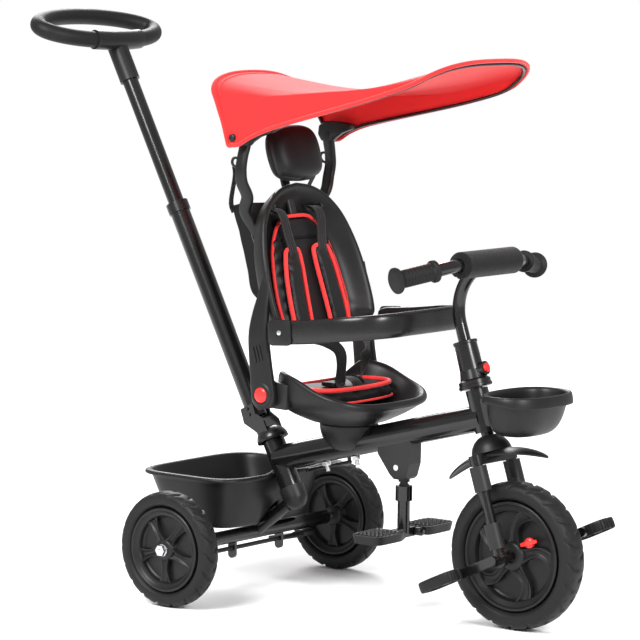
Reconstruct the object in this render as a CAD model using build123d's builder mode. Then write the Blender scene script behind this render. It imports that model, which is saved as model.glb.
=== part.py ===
from build123d import *
from math import cos, radians, sin
import os

# Children's tricycle with a push handle, a swivel seat and a folding canopy.
# +X is forward, +Y the rider's left, +Z up. The origin is on the ground, midway between the rear wheels.
# All lengths are in millimetres and all angles in degrees.

# ---- driving dimensions ----
wheel_base = 570
front_wheel_radius = 127
rear_wheel_radius = 102
front_tyre_width = 52
rear_tyre_width = 38
rear_track_half = 241

rake = 18.0  # the steering axis leans back from the vertical by this much
main_tube_pitch = 14.6  # the main tube rises towards the front
post_lean = 27.5  # the rear post and the push handle lean back from the vertical
seat_back_lean = 17.5
running = 0.05  # radial clearance of a running fit
gap = 0.3  # clearance between pieces that only pass each other

main_tube_radius = 23
post_radius = 20
handle_offset = 14  # the push handle stands this far behind the post's axis
axle_radius = 6
fork_half_width = 50
crank_length = 95
crank_angle = 25.5

seat_axis_x = 208
seat_plate_z = 318
recline_x = 134
recline_z = 377
shell_depth_back = 22
shell_depth_front = 61
rail_pivot_x = 178
rail_pivot_z = 490
canopy_pivot_x = 52
canopy_pivot_z = 820
footrest_x = 330
footrest_knuckle_z = 208
foot_plate_z = 138
foot_hinge_y = 28

# ---- reference planes ----
# Local z of each plane runs up along its axis, and local x points forward.
steer_plane = Plane(
    origin=(wheel_base, 0, front_wheel_radius),
    x_dir=(cos(radians(rake)), 0, sin(radians(rake))),
    z_dir=(-sin(radians(rake)), 0, cos(radians(rake))),
)
post_plane = Plane(
    origin=(52, 0, 245),
    x_dir=(cos(radians(post_lean)), 0, sin(radians(post_lean))),
    z_dir=(-sin(radians(post_lean)), 0, cos(radians(post_lean))),
)
handle_plane = Plane(
    origin=post_plane.from_local_coords(Vector(-handle_offset, 0, 0)),
    x_dir=post_plane.x_dir,
    z_dir=post_plane.z_dir,
)
tube_plane = Plane(
    origin=(52, 0, 241),
    x_dir=(0, 1, 0),
    z_dir=(cos(radians(main_tube_pitch)), 0, sin(radians(main_tube_pitch))),
)
# In the backrest's plane, x is the rider's left, y runs up the backrest and z points forward.
back_plane = Plane(
    origin=(recline_x, 0, recline_z),
    x_dir=(0, 1, 0),
    z_dir=(cos(radians(seat_back_lean)), 0, sin(radians(seat_back_lean))),
)


def on_plane(plane, x, y, z):
    """The point with these local coordinates."""
    return plane.from_local_coords(Vector(x, y, z))


def side_plane(x, y, z):
    """A plane across the tricycle: local x is forward, local y is up and local z is the rider's right."""
    return Plane(origin=(x, y, z), x_dir=(1, 0, 0), z_dir=(0, -1, 0))


def cross_bar(x, z, y_from, y_to, radius, bore=0):
    """A round bar or bush across the tricycle."""
    with BuildPart() as bar:
        with BuildSketch(side_plane(x, y_to, z)):
            Circle(radius)
            if bore:
                Circle(bore, mode=Mode.SUBTRACT)
        extrude(amount=y_to - y_from)
    return bar.part


def axis_bar(plane, z_from, z_to, radius, bore=0):
    """A round bar or bush along a plane's own z axis."""
    with BuildPart() as bar:
        with BuildSketch(plane.offset(z_from)):
            Circle(radius)
            if bore:
                Circle(bore, mode=Mode.SUBTRACT)
        extrude(amount=z_to - z_from)
    return bar.part


def bar_between(start, end, radius):
    """A round bar from one point to another."""
    with BuildPart() as bar:
        with BuildSketch(Plane(origin=start, z_dir=Vector(end) - Vector(start))):
            Circle(radius)
        extrude(amount=(Vector(end) - Vector(start)).length)
    return bar.part


# ---- frame ----
main_tube_length = 460
head_tube_low, head_tube_high = 216, 291
head_tube_radius, head_tube_bore = 20, 14
steerer_radius = 11
bracket_front_x = 522.5
head_cut = axis_bar(steer_plane, head_tube_low - 60, head_tube_high + 60, head_tube_radius)
post_cut = axis_bar(post_plane, -120, 120, post_radius)
rod_side = 12
rod_slot_x, rod_slot_length, rod_slot_width = 196, 66, 15
with BuildPart() as main_tube:
    with BuildSketch(tube_plane):
        Circle(main_tube_radius)
        Circle(main_tube_radius - 2.5, mode=Mode.SUBTRACT)
    extrude(amount=main_tube_length)
    add(head_cut, mode=Mode.SUBTRACT)
    add(post_cut, mode=Mode.SUBTRACT)
    with BuildSketch(Plane.XY.offset(200)):
        with Locations((rod_slot_x, rod_side)):
            SlotOverall(rod_slot_length, rod_slot_width)
    extrude(amount=71, mode=Mode.SUBTRACT)
tube_solid = axis_bar(tube_plane, -5, main_tube_length, main_tube_radius)

with BuildPart() as head_tube:
    with BuildSketch(steer_plane.offset(head_tube_low)):
        Circle(head_tube_radius)
        Circle(head_tube_bore, mode=Mode.SUBTRACT)
    extrude(amount=head_tube_high - head_tube_low)
    with BuildSketch(Plane.XZ.offset(-16)):
        with Locations((bracket_front_x - 12, 368)):
            Rectangle(24, 46)
    extrude(amount=32)
    add(axis_bar(steer_plane, head_tube_low, head_tube_high, head_tube_bore), mode=Mode.SUBTRACT)
    add(axis_bar(steer_plane, head_tube_high, head_tube_high + 60, 40), mode=Mode.SUBTRACT)

post_low, post_high, post_bore = -60, 30, 16
with BuildPart() as rear_post:
    with BuildSketch(post_plane.offset(post_low)):
        Circle(post_radius)
        Circle(post_bore, mode=Mode.SUBTRACT)
    extrude(amount=post_high - post_low)

foot_low, foot_radius = -80, 22.5
with BuildPart() as post_foot:
    add(axis_bar(post_plane, foot_low, post_low, foot_radius))
    with Locations(on_plane(post_plane, 0, 0, foot_low)):
        Sphere(foot_radius)
    add(axis_bar(post_plane, post_low - 6, post_low + 10, 15), mode=Mode.SUBTRACT)

beam_half_length, beam_radius = 205, 12.5
strut_start = on_plane(post_plane, 0, 0, -82)
strut_end = Vector(0, 0, rear_wheel_radius)
brake_bar_z = 80
with BuildPart() as axle_beam:
    with BuildSketch(side_plane(0, beam_half_length, rear_wheel_radius)):
        Circle(beam_radius)
    extrude(amount=2 * beam_half_length)
    add(bar_between(strut_start, strut_end, 11))
    add(axis_bar(post_plane, -110, post_low + 2, 23 + gap), mode=Mode.SUBTRACT)
    for y in (-70, 64):
        with BuildSketch(side_plane(0, y + 6, brake_bar_z)):
            SlotCenterToCenter(20, 16, rotation=90)
        extrude(amount=6)
        add(cross_bar(0, brake_bar_z, y - 1, y + 7, 4 + running), mode=Mode.SUBTRACT)
    add(cross_bar(0, rear_wheel_radius, -beam_half_length, beam_half_length, axle_radius), mode=Mode.SUBTRACT)

axle_half_length = 268
with BuildPart() as rear_axle:
    with BuildSketch(side_plane(0, axle_half_length, rear_wheel_radius)):
        Circle(axle_radius)
    extrude(amount=2 * axle_half_length)

seat_cup_radius = 52
with BuildPart() as seat_cup:
    with BuildSketch(Plane.XZ):
        with BuildLine():
            Line((seat_axis_x, seat_plate_z), (seat_axis_x + seat_cup_radius, seat_plate_z))
            cup_rim = (seat_axis_x + seat_cup_radius, seat_plate_z)
            RadiusArc(cup_rim, (seat_axis_x + 26, seat_plate_z - 45), 52)
            Polyline(
                (seat_axis_x + 26, seat_plate_z - 45),
                (seat_axis_x, seat_plate_z - 45),
                (seat_axis_x, seat_plate_z),
            )
        make_face()
    revolve(axis=Axis((seat_axis_x, 0, 0), (0, 0, 1)))
    add(tube_solid, mode=Mode.SUBTRACT)
    with BuildSketch(Plane.XY.offset(seat_plate_z - 11)):
        with Locations((seat_axis_x, 0)):
            Circle(8 + running)
    extrude(amount=11, mode=Mode.SUBTRACT)

housing_half_width = 17
with BuildPart() as footrest_housing:
    with BuildSketch(side_plane(0, housing_half_width, 0)):
        with BuildLine():
            Polyline(
                (284, 300), (354, 318), (353, 262), (346, 238), (340, 233),
                (320, 233), (311, 240), (284, 275), (284, 300),
            )
        make_face()
    extrude(amount=2 * housing_half_width)
    add(tube_solid, mode=Mode.SUBTRACT)
    with BuildSketch(Plane.XY.offset(footrest_knuckle_z + 20)):
        with Locations((footrest_x, 0)):
            Circle(10)
    extrude(amount=12)
    with BuildSketch(side_plane(footrest_x, 3, footrest_knuckle_z)):
        with Locations((0, 6)):
            SlotCenterToCenter(12, 18, rotation=90)
    extrude(amount=6)
    add(cross_bar(footrest_x, footrest_knuckle_z, -4, 4, 4 + running), mode=Mode.SUBTRACT)
    upper_half = Box(200, 100, 60, align=(Align.CENTER, Align.CENTER, Align.MIN), mode=Mode.PRIVATE)
    add(upper_half.moved(Location((footrest_x, 0, 305))), mode=Mode.SUBTRACT)

with BuildPart() as frame_fasteners:
    for side in (-1, 1):
        with BuildSketch(side_plane(0, side * 264 + 4, rear_wheel_radius)):
            RegularPolygon(10, 6)
            Circle(axle_radius, mode=Mode.SUBTRACT)
        extrude(amount=8)
    for distance in (104, 172):
        nut_plane = Plane(
            origin=on_plane(tube_plane, 0, -main_tube_radius, distance),
            z_dir=(sin(radians(main_tube_pitch)), 0, -cos(radians(main_tube_pitch))),
        )
        with BuildSketch(nut_plane):
            RegularPolygon(8, 6)
        extrude(amount=7)
        with BuildSketch(nut_plane):
            Circle(4)
        extrude(amount=17)
    for side in (-1, 1):
        with BuildSketch(side_plane(326, side * (housing_half_width + 1.5) + 1.5, 254)):
            Circle(5)
        extrude(amount=3)


def rear_basket_body(inset, floor_z, top_z):
    """The rear basket's outer or inner volume."""
    with BuildPart() as body:
        with BuildSketch(Plane.XY.offset(floor_z)):
            with Locations((-42, 0)):
                RectangleRounded(156 - 2 * inset, 252 - 2 * inset, 40 - inset)
        with BuildSketch(Plane.XY.offset(top_z)):
            with Locations((-44, 0)):
                RectangleRounded(206 - 2 * inset, 290 - 2 * inset, 48 - inset)
        loft()
    return body.part


basket_wall = 3
basket_floor_z, basket_top_z = 122, 208
basket_outer = rear_basket_body(0, basket_floor_z, basket_top_z)
cavity_inner = rear_basket_body(basket_wall, basket_floor_z + basket_wall, basket_top_z + 1)
post_recess = axis_bar(post_plane, -120, 60, post_radius + 5.5)
post_clear = axis_bar(post_plane, -120, 60, post_radius + 2.5)
strut_recess = bar_between(strut_start, strut_end, 16.5)
strut_clear = bar_between(strut_start, strut_end, 13.5)
with BuildPart() as basket_cavity:
    add(cavity_inner)
    add(post_recess, mode=Mode.SUBTRACT)
    add(strut_recess, mode=Mode.SUBTRACT)
    with BuildSketch(Plane.XY.offset(basket_floor_z + basket_wall)):
        with Locations((33, 0)):
            Rectangle(15, 35)
    extrude(amount=3, mode=Mode.SUBTRACT)
with BuildPart() as rear_basket:
    add(basket_outer)
    with BuildSketch(Plane.XY.offset(basket_top_z - 6)):
        with Locations((-44, 0)):
            RectangleRounded(220, 304, 54)
    extrude(amount=6)
    add(basket_cavity.part, mode=Mode.SUBTRACT)
    add(post_clear, mode=Mode.SUBTRACT)
    add(strut_clear, mode=Mode.SUBTRACT)
    for y in (-90, 90):
        with BuildSketch(Plane.XY.offset(rear_wheel_radius + beam_radius - 1)):
            with Locations((0, y)):
                Rectangle(24, 20)
        extrude(amount=basket_floor_z - rear_wheel_radius - beam_radius + 2)
    add(cross_bar(0, rear_wheel_radius, -110, 110, beam_radius), mode=Mode.SUBTRACT)


def front_basket_body(inset, floor_z, top_z):
    """The front basket's outer or inner volume."""
    with BuildPart() as body:
        with BuildSketch(Plane.XY.offset(floor_z)):
            with Locations((576, 0)):
                RectangleRounded(78 - 2 * inset, 116 - 2 * inset, 30 - inset)
        with BuildSketch(Plane.XY.offset(top_z)):
            with Locations((585, 0)):
                RectangleRounded(120 - 2 * inset, 182 - 2 * inset, 52 - inset)
        loft()
    return body.part


front_floor_z, front_top_z = 334, 398
front_outer = front_basket_body(0, front_floor_z, front_top_z)
front_cavity = front_basket_body(basket_wall, front_floor_z + basket_wall, front_top_z + 1)
with BuildPart() as front_basket:
    add(front_outer)
    with BuildSketch(Plane.XY.offset(front_top_z - 14)):
        with Locations((585, 0)):
            RectangleRounded(124, 186, 54)
    extrude(amount=14)
    add(front_cavity, mode=Mode.SUBTRACT)
    with BuildSketch(Plane.XZ.offset(-20)):
        with Locations((bracket_front_x + gap + 7, 368)):
            Rectangle(14, 44)
    extrude(amount=40)

# ---- steering ----
fork_crown_low, fork_crown_high = 162, 180
dropout_radius = 14
with BuildPart() as fork:
    with BuildSketch(steer_plane.offset(fork_crown_low)):
        SlotOverall(2 * fork_half_width + 24, 24, rotation=90)
    extrude(amount=fork_crown_high - fork_crown_low)
    with BuildSketch(steer_plane):
        for side in (-1, 1):
            with Locations((0, side * fork_half_width)):
                Circle(9)
    extrude(amount=fork_crown_low)
    with BuildSketch(steer_plane.offset(fork_crown_high)):
        Circle(steerer_radius)
    extrude(amount=head_tube_high - fork_crown_high)
    for side in (-1, 1):
        y = side * fork_half_width
        add(cross_bar(wheel_base, front_wheel_radius, y - 5, y + 5, dropout_radius))
    for side in (-1, 1):
        y = side * fork_half_width
        add(cross_bar(wheel_base, front_wheel_radius, y - 12, y + 12, 7 + running), mode=Mode.SUBTRACT)

with BuildPart() as fork_covers:
    for side in (-1, 1):
        for low, high, radius in ((118, 161, 15), (18, 62, 14)):
            with BuildSketch(steer_plane.offset(low)):
                with Locations((0, side * fork_half_width)):
                    Circle(radius)
                    Circle(9, mode=Mode.SUBTRACT)
            extrude(amount=high - low)
    for side in (-1, 1):
        tyre_room = sorted((side * 20, side * 38))
        add(cross_bar(wheel_base, front_wheel_radius, *tyre_room, 131), mode=Mode.SUBTRACT)

fender_radius = 184
with BuildPart() as fender:
    with BuildSketch(side_plane(wheel_base, 40, front_wheel_radius)):
        Circle(fender_radius)
        Circle(fender_radius - 3.5, mode=Mode.SUBTRACT)
    extrude(amount=80)
    with BuildSketch(steer_plane.offset(60)):
        with BuildLine():
            ThreePointArc((-92, 0), (8, 35), (113, 0))
            ThreePointArc((113, 0), (8, -35), (-92, 0))
        make_face()
    extrude(amount=150, mode=Mode.INTERSECT)
    with BuildSketch(Plane(origin=steer_plane.origin, x_dir=steer_plane.x_dir, z_dir=(0, -1, 0))):
        with BuildLine():
            Line((steerer_radius + gap, 184), (34, 181))
            ThreePointArc((34, 181), (27, 199), (steerer_radius + gap, 208))
            Line((steerer_radius + gap, 208), (steerer_radius + gap, 184))
        make_face()
    revolve(axis=Axis(steer_plane.origin, steer_plane.z_dir))
    add(axis_bar(steer_plane, 150, 230, steerer_radius + gap), mode=Mode.SUBTRACT)

with BuildPart() as headset_bearings:
    for low in (head_tube_low, head_tube_high - 12):
        with BuildSketch(steer_plane.offset(low)):
            Circle(head_tube_bore - running)
            Circle(steerer_radius, mode=Mode.SUBTRACT)
        extrude(amount=12)

stem_bend_start, stem_bend_radius = 406, 87
stem_profile = Plane(origin=steer_plane.origin, x_dir=steer_plane.x_dir, z_dir=(0, -1, 0))
bar_centre = on_plane(steer_plane, stem_bend_radius - 4, 0, stem_bend_start + stem_bend_radius)
stem_bend_centre = on_plane(steer_plane, stem_bend_radius, 0, stem_bend_start)
with BuildPart() as stem:
    add(axis_bar(steer_plane, head_tube_high, stem_bend_start, steerer_radius))
    with BuildSketch(steer_plane.offset(stem_bend_start)):
        Circle(steerer_radius)
    revolve(axis=Axis(stem_bend_centre, (0, 1, 0)), revolution_arc=84)

bar_radius = 11
bar_bend_y, bar_end_y = 94, 201
bar_points = [
    (bar_centre.X - 38, -bar_end_y, bar_centre.Z - 19),
    (bar_centre.X, -bar_bend_y, bar_centre.Z),
    (bar_centre.X, bar_bend_y, bar_centre.Z),
    (bar_centre.X - 38, bar_end_y, bar_centre.Z - 19),
]
with BuildPart() as handlebar:
    with BuildLine() as bar_path:
        FilletPolyline(*bar_points, radius=60)
    with BuildSketch(Plane(origin=bar_points[0], z_dir=Vector(bar_points[1]) - Vector(bar_points[0]))):
        Circle(bar_radius)
    sweep()
with BuildPart() as stem_end_cut:
    with BuildSketch(side_plane(bar_centre.X, 60, bar_centre.Z)):
        Circle(bar_radius)
    extrude(amount=120)
stem.part = stem.part - stem_end_cut.part

foam_radius, foam_half_length = 23, 83
with BuildPart() as foam_sleeve:
    with BuildSketch(side_plane(bar_centre.X, foam_half_length, bar_centre.Z)):
        Circle(foam_radius)
        Circle(bar_radius + 0.5, mode=Mode.SUBTRACT)
    extrude(amount=2 * foam_half_length)
    fillet(foam_sleeve.edges().filter_by(GeomType.CIRCLE).group_by(SortBy.RADIUS)[-1], 4)
    add(stem.part, mode=Mode.SUBTRACT)

grip_length, grip_radius = 76, 14.5
with BuildPart() as grips:
    for side in (-1, 1):
        bar_end = Vector(bar_centre.X - 38, side * bar_end_y, bar_centre.Z - 19)
        inward = (Vector(bar_centre.X, side * bar_bend_y, bar_centre.Z) - bar_end).normalized()
        with BuildSketch(Plane(origin=bar_end, z_dir=inward)):
            Circle(grip_radius)
            Circle(bar_radius, mode=Mode.SUBTRACT)
        extrude(amount=grip_length)
        with BuildSketch(Plane(origin=bar_end + inward * (grip_length - 7), z_dir=inward)):
            Circle(18)
            Circle(bar_radius, mode=Mode.SUBTRACT)
        extrude(amount=7)
        with BuildSketch(Plane(origin=bar_end - inward * 7, z_dir=inward)):
            Circle(22)
        extrude(amount=7)

collar_low, collar_high = 293, 374
with BuildPart() as stem_collar:
    with BuildSketch(stem_profile):
        with BuildLine():
            Polyline(
                (steerer_radius, collar_low), (28, collar_low), (28, 306), (24, 309), (21, 325),
                (19.5, collar_high), (steerer_radius, collar_high), (steerer_radius, collar_low),
            )
        make_face()
    revolve(axis=Axis(steer_plane.origin, steer_plane.z_dir))
    button_socket = Plane(origin=on_plane(steer_plane, 14, 0, 322), z_dir=steer_plane.x_dir)
    with BuildSketch(button_socket):
        Circle(12)
    extrude(amount=16)
    with BuildSketch(button_socket):
        Circle(8 + gap)
    extrude(amount=17, mode=Mode.SUBTRACT)

with BuildPart() as stem_button:
    with BuildSketch(button_socket.offset(4)):
        Circle(8)
    extrude(amount=16)
    fillet(stem_button.faces().sort_by(Axis(button_socket.origin, button_socket.z_dir))[-1].edges(), 2)

# ---- front wheel ----
rim_web = 5  # the closed disc between the spokes


def wheel_rim(x, z, y_centre, rim_radius, hub_radius, width, bore, spokes):
    """A moulded rim: barrel, hub and tapered spokes on both sides of a thin web."""
    y_far = y_centre + width / 2
    with BuildPart() as rim:
        with BuildSketch(side_plane(x, y_far, z)):
            Circle(rim_radius)
            Circle(rim_radius - 7, mode=Mode.SUBTRACT)
        extrude(amount=width)
        with BuildSketch(side_plane(x, y_far - 4, z)):
            Circle(hub_radius)
        extrude(amount=width - 8)
        with BuildSketch(side_plane(x, y_far - 10, z)):
            spoke_outline = [
                (hub_radius - 4, -9), (rim_radius - 4, -14), (rim_radius - 4, 4), (hub_radius - 4, 9)
            ]
            with PolarLocations(0, spokes):
                Polygon(*spoke_outline, align=None)
        extrude(amount=width - 20)
        with BuildSketch(side_plane(x, y_centre + rim_web / 2, z)):
            Circle(rim_radius - 3)
        extrude(amount=rim_web)
        with BuildSketch(side_plane(x, y_far, z)):
            Circle(bore)
        extrude(amount=width, mode=Mode.SUBTRACT)
    return rim.part


def tyre(x, z, y_centre, outer_radius, rim_radius, width):
    """A solid foam tyre with a rounded crown."""
    half = width / 2
    with BuildPart() as ring:
        with BuildSketch(Plane(origin=(x, y_centre, z), x_dir=(0, 1, 0), z_dir=(1, 0, 0))):
            with BuildLine():
                Line((-half + 5, rim_radius), (half - 5, rim_radius))
                Line((half - 5, rim_radius), (half, rim_radius + 6))
                ThreePointArc((half, rim_radius + 6), (0, outer_radius), (-half, rim_radius + 6))
                Line((-half, rim_radius + 6), (-half + 5, rim_radius))
            make_face()
        revolve(axis=Axis((x, y_centre, z), (0, 1, 0)))
    return ring.part


front_rim_radius, front_hub_radius = 94, 24
with BuildPart() as front_rim:
    add(wheel_rim(wheel_base, front_wheel_radius, 0, front_rim_radius, front_hub_radius, 40, 10, 5))
    with BuildSketch(side_plane(wheel_base, -18, front_wheel_radius)):
        with Locations(Location((0, 0, 0), 37)):
            with Locations((46, 0)):
                Circle(15)
    extrude(amount=-16)
    with BuildSketch(side_plane(wheel_base, -18, front_wheel_radius)):
        with Locations(Location((0, 0, 0), 37)):
            with Locations((46, 0)):
                Circle(6 + gap)
    extrude(amount=-17, mode=Mode.SUBTRACT)
with BuildPart() as front_tyre:
    add(tyre(wheel_base, front_wheel_radius, 0, front_wheel_radius, front_rim_radius, front_tyre_width))
with BuildPart() as front_bushes:
    for y_low in (-16, 2):
        with BuildSketch(side_plane(wheel_base, y_low + 14, front_wheel_radius)):
            Circle(10)
            Circle(7 + running, mode=Mode.SUBTRACT)
        extrude(amount=14)

clutch_centre = Plane(origin=(wheel_base, 0, front_wheel_radius), x_dir=(1, 0, 0), z_dir=(0, -1, 0)).from_local_coords(
    Vector(46 * cos(radians(37)), 46 * sin(radians(37)), 0)
)
with BuildPart() as clutch_knob:
    with BuildSketch(side_plane(clutch_centre.X, -8, clutch_centre.Z)):
        Circle(6)
    extrude(amount=12)
    with BuildSketch(side_plane(clutch_centre.X, -18.5, clutch_centre.Z)):
        Circle(9)
    extrude(amount=6)
    with BuildSketch(side_plane(clutch_centre.X, -18.5, clutch_centre.Z)):
        SlotOverall(32, 11, rotation=20)
    extrude(amount=8)

crank_dx = crank_length * cos(radians(crank_angle))
crank_dz = crank_length * sin(radians(crank_angle))
with BuildPart() as crank:
    with BuildSketch(side_plane(wheel_base, 76, front_wheel_radius)):
        Circle(7)
    extrude(amount=152)
    for side in (-1, 1):
        arm_y = side * 71
        with BuildSketch(side_plane(wheel_base, arm_y + 5, front_wheel_radius)):
            with Locations((side * crank_dx / 2, side * crank_dz / 2)):
                SlotCenterToCenter(crank_length, 16, rotation=crank_angle)
        extrude(amount=10)
        spindle = sorted((side * 70, side * 124))
        add(cross_bar(wheel_base + side * crank_dx, front_wheel_radius + side * crank_dz, *spindle, 5))


def pedal(side):
    """A block pedal on its spindle, lying in line with the crank."""
    x = wheel_base + side * crank_dx
    z = front_wheel_radius + side * crank_dz
    with BuildPart() as block:
        with BuildSketch(side_plane(x, side * 102 + 23, z)):
            RectangleRounded(76, 18, 6)
        extrude(amount=46)
        with BuildSketch(side_plane(x, side * 102 + 24, z)):
            Circle(5 + running)
        extrude(amount=48, mode=Mode.SUBTRACT)
    return block.part.rotate(Axis((x, 0, z), (0, -1, 0)), crank_angle)


left_pedal_part = pedal(1)
right_pedal_part = pedal(-1)

# ---- rear wheels and brake ----
rear_rim_radius, rear_hub_radius = 74, 20
rear_parts = {}
for name, side in (("left", 1), ("right", -1)):
    rear_y = side * rear_track_half
    rim_bore = axle_radius + running
    rear_parts[name + "_rear_rim"] = wheel_rim(
        0, rear_wheel_radius, rear_y, rear_rim_radius, rear_hub_radius, 34, rim_bore, 5
    )
    rear_parts[name + "_rear_tyre"] = tyre(
        0, rear_wheel_radius, rear_y, rear_wheel_radius, rear_rim_radius, rear_tyre_width
    )

brake_y = 150
with BuildPart() as brake_pedals:
    with BuildSketch(side_plane(0, brake_y + 17, brake_bar_z)):
        Circle(4)
    extrude(amount=2 * brake_y + 34)
    for side in (-1, 1):
        with BuildSketch(side_plane(0, side * brake_y + 17, brake_bar_z)):
            with BuildLine():
                Polyline((6, 4), (6, -5), (-30, -14), (-78, -20), (-80, -14), (-34, -7), (-6, 5), (6, 4))
            make_face()
        extrude(amount=34)

# ---- push handle ----
shaft_low, shaft_high = -58, 50
handle_low, handle_high = 82, 500
handle_radius, handle_bore = 18, 16
with BuildPart() as handle_shaft:
    with BuildSketch(post_plane.offset(shaft_low)):
        Circle(post_bore - running)
    extrude(amount=shaft_high - shaft_low)
    for side in (-1, 1):
        clevis_plane = Plane(
            origin=on_plane(post_plane, 0, side * 20.5 + 2, 0), x_dir=post_plane.x_dir, z_dir=(0, -1, 0)
        )
        with BuildSketch(clevis_plane):
            with BuildLine():
                Polyline((12, 52), (12, 66), (0, 84), (2, 104), (-28, 104), (-32, 78), (-12, 52), (12, 52))
            make_face()
        extrude(amount=4)
    with BuildSketch(post_plane.offset(44)):
        Rectangle(24, 45)
    extrude(amount=9)
    for distance in (88, 99):
        pin_at = on_plane(handle_plane, 0, 0, distance)
        add(cross_bar(pin_at.X, pin_at.Z, -25, 25, 3.5))

with BuildPart() as post_cap:
    with BuildSketch(Plane(origin=post_plane.origin, x_dir=post_plane.x_dir, z_dir=(0, -1, 0))):
        with BuildLine():
            Polyline((0, 31), (29, 31), (29, 35))
            ThreePointArc((29, 35), (21, 50), (0, 56))
            Line((0, 56), (0, 31))
        make_face()
    revolve(axis=Axis(post_plane.origin, post_plane.z_dir))
    add(handle_shaft.part, mode=Mode.SUBTRACT)

with BuildPart() as lower_handle_tube:
    with BuildSketch(handle_plane.offset(handle_low)):
        Circle(handle_radius)
        Circle(handle_bore, mode=Mode.SUBTRACT)
    extrude(amount=handle_high - handle_low)
    for distance in (88, 99):
        pin_at = on_plane(handle_plane, 0, 0, distance)
        add(cross_bar(pin_at.X, pin_at.Z, -25, 25, 3.5), mode=Mode.SUBTRACT)

upper_radius = 14.5
with BuildPart() as handle_collar:
    with BuildSketch(handle_plane.offset(486)):
        Circle(20.5)
        Circle(handle_radius, mode=Mode.SUBTRACT)
    extrude(amount=14)
    with BuildSketch(handle_plane.offset(500)):
        Circle(20.5)
        Circle(upper_radius + running, mode=Mode.SUBTRACT)
    extrude(amount=5)

upper_low, upper_high = 330, 800
with BuildPart() as upper_handle_tube:
    with BuildSketch(handle_plane.offset(upper_low)):
        Circle(upper_radius)
        Circle(upper_radius - 2, mode=Mode.SUBTRACT)
    extrude(amount=upper_high - upper_low)
    with BuildSketch(handle_plane.offset(upper_low)):
        Circle(handle_bore - running)
        Circle(upper_radius, mode=Mode.SUBTRACT)
    extrude(amount=20)

# The ring grip is an oval whose plane rises towards the back.
ring_tilt = 21.8
ring_half_width, ring_half_depth = 149, 56.5
ring_centre = Vector(-390, 0, 1000)
ring_plane = Plane(
    origin=ring_centre,
    x_dir=(0, 1, 0),
    z_dir=(-sin(radians(ring_tilt)), 0, -cos(radians(ring_tilt))),
)


def ring_arc(start_angle, arc_size, radius):
    """A round bar along part of the grip's oval; the oval's front is at 90 degrees."""
    with BuildPart() as arc_bar:
        with BuildLine(ring_plane) as oval:
            EllipticalCenterArc((0, 0), ring_half_width, ring_half_depth, start_angle, arc_size=arc_size)
        with BuildSketch(Plane(origin=oval.line @ 0, z_dir=oval.line % 0)):
            Circle(radius)
        sweep()
    return arc_bar.part


ring_radius = 15
with BuildPart() as push_grip:
    for start_angle in (0, 180):
        add(ring_arc(start_angle, 180, ring_radius))
tee_angle = 24
tee_sleeve = ring_arc(90 - tee_angle, 2 * tee_angle, 18)
tee_low = 752
with BuildPart() as grip_tee:
    add(tee_sleeve)
    with BuildSketch(handle_plane.offset(tee_low)):
        Circle(18.5)
    extrude(amount=70)
    add(push_grip.part, mode=Mode.SUBTRACT)
    with BuildSketch(handle_plane.offset(tee_low - 1)):
        Circle(upper_radius)
    extrude(amount=upper_high - tee_low + 1, mode=Mode.SUBTRACT)

# ---- steering rod ----
# The rod runs under the main tube, enters it by the slot below the seat and goes on inside to the fork.
rod_radius = 3.5
rod_depth = main_tube_radius + 8
rod_points = [
    on_plane(tube_plane, rod_side, -rod_depth, 50),
    on_plane(tube_plane, rod_side, -rod_depth, 146),
    on_plane(tube_plane, rod_side, -4, 150),
    on_plane(tube_plane, 0, -4, 410),
]
with BuildPart() as steering_rod:
    for start, end in zip(rod_points, rod_points[1:]):
        add(bar_between(start, end, rod_radius))
    for joint in rod_points:
        with Locations(joint):
            Sphere(rod_radius + 1)

# ---- seat ----
with BuildPart() as swivel_plate:
    with BuildSketch(Plane.XY.offset(seat_plate_z + gap)):
        with Locations((seat_axis_x, 0)):
            Circle(46)
    extrude(amount=4 - gap)
    with BuildSketch(Plane.XY.offset(seat_plate_z - 8)):
        with Locations((seat_axis_x, 0)):
            Circle(8)
    extrude(amount=9)

seat_floor_z, seat_rim_z = 322, 420


def seat_body(inset, low_z):
    """The seat pan's outer or inner volume, before its rim is cut to shape."""
    with BuildPart() as body:
        with BuildSketch(Plane.XY.offset(low_z)):
            with Locations((206, 0)):
                RectangleRounded(112 - 2 * inset, 118 - 2 * inset, 52 - inset)
        with BuildSketch(Plane.XY.offset(350)):
            with Locations((214, 0)):
                RectangleRounded(200 - 2 * inset, 266 - 2 * inset, 78 - inset)
        with BuildSketch(Plane.XY.offset(seat_rim_z + inset)):
            with Locations((217, 0)):
                RectangleRounded(208 - 2 * inset, 280 - 2 * inset, 84 - inset)
        loft(ruled=True)
    return body.part


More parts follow.
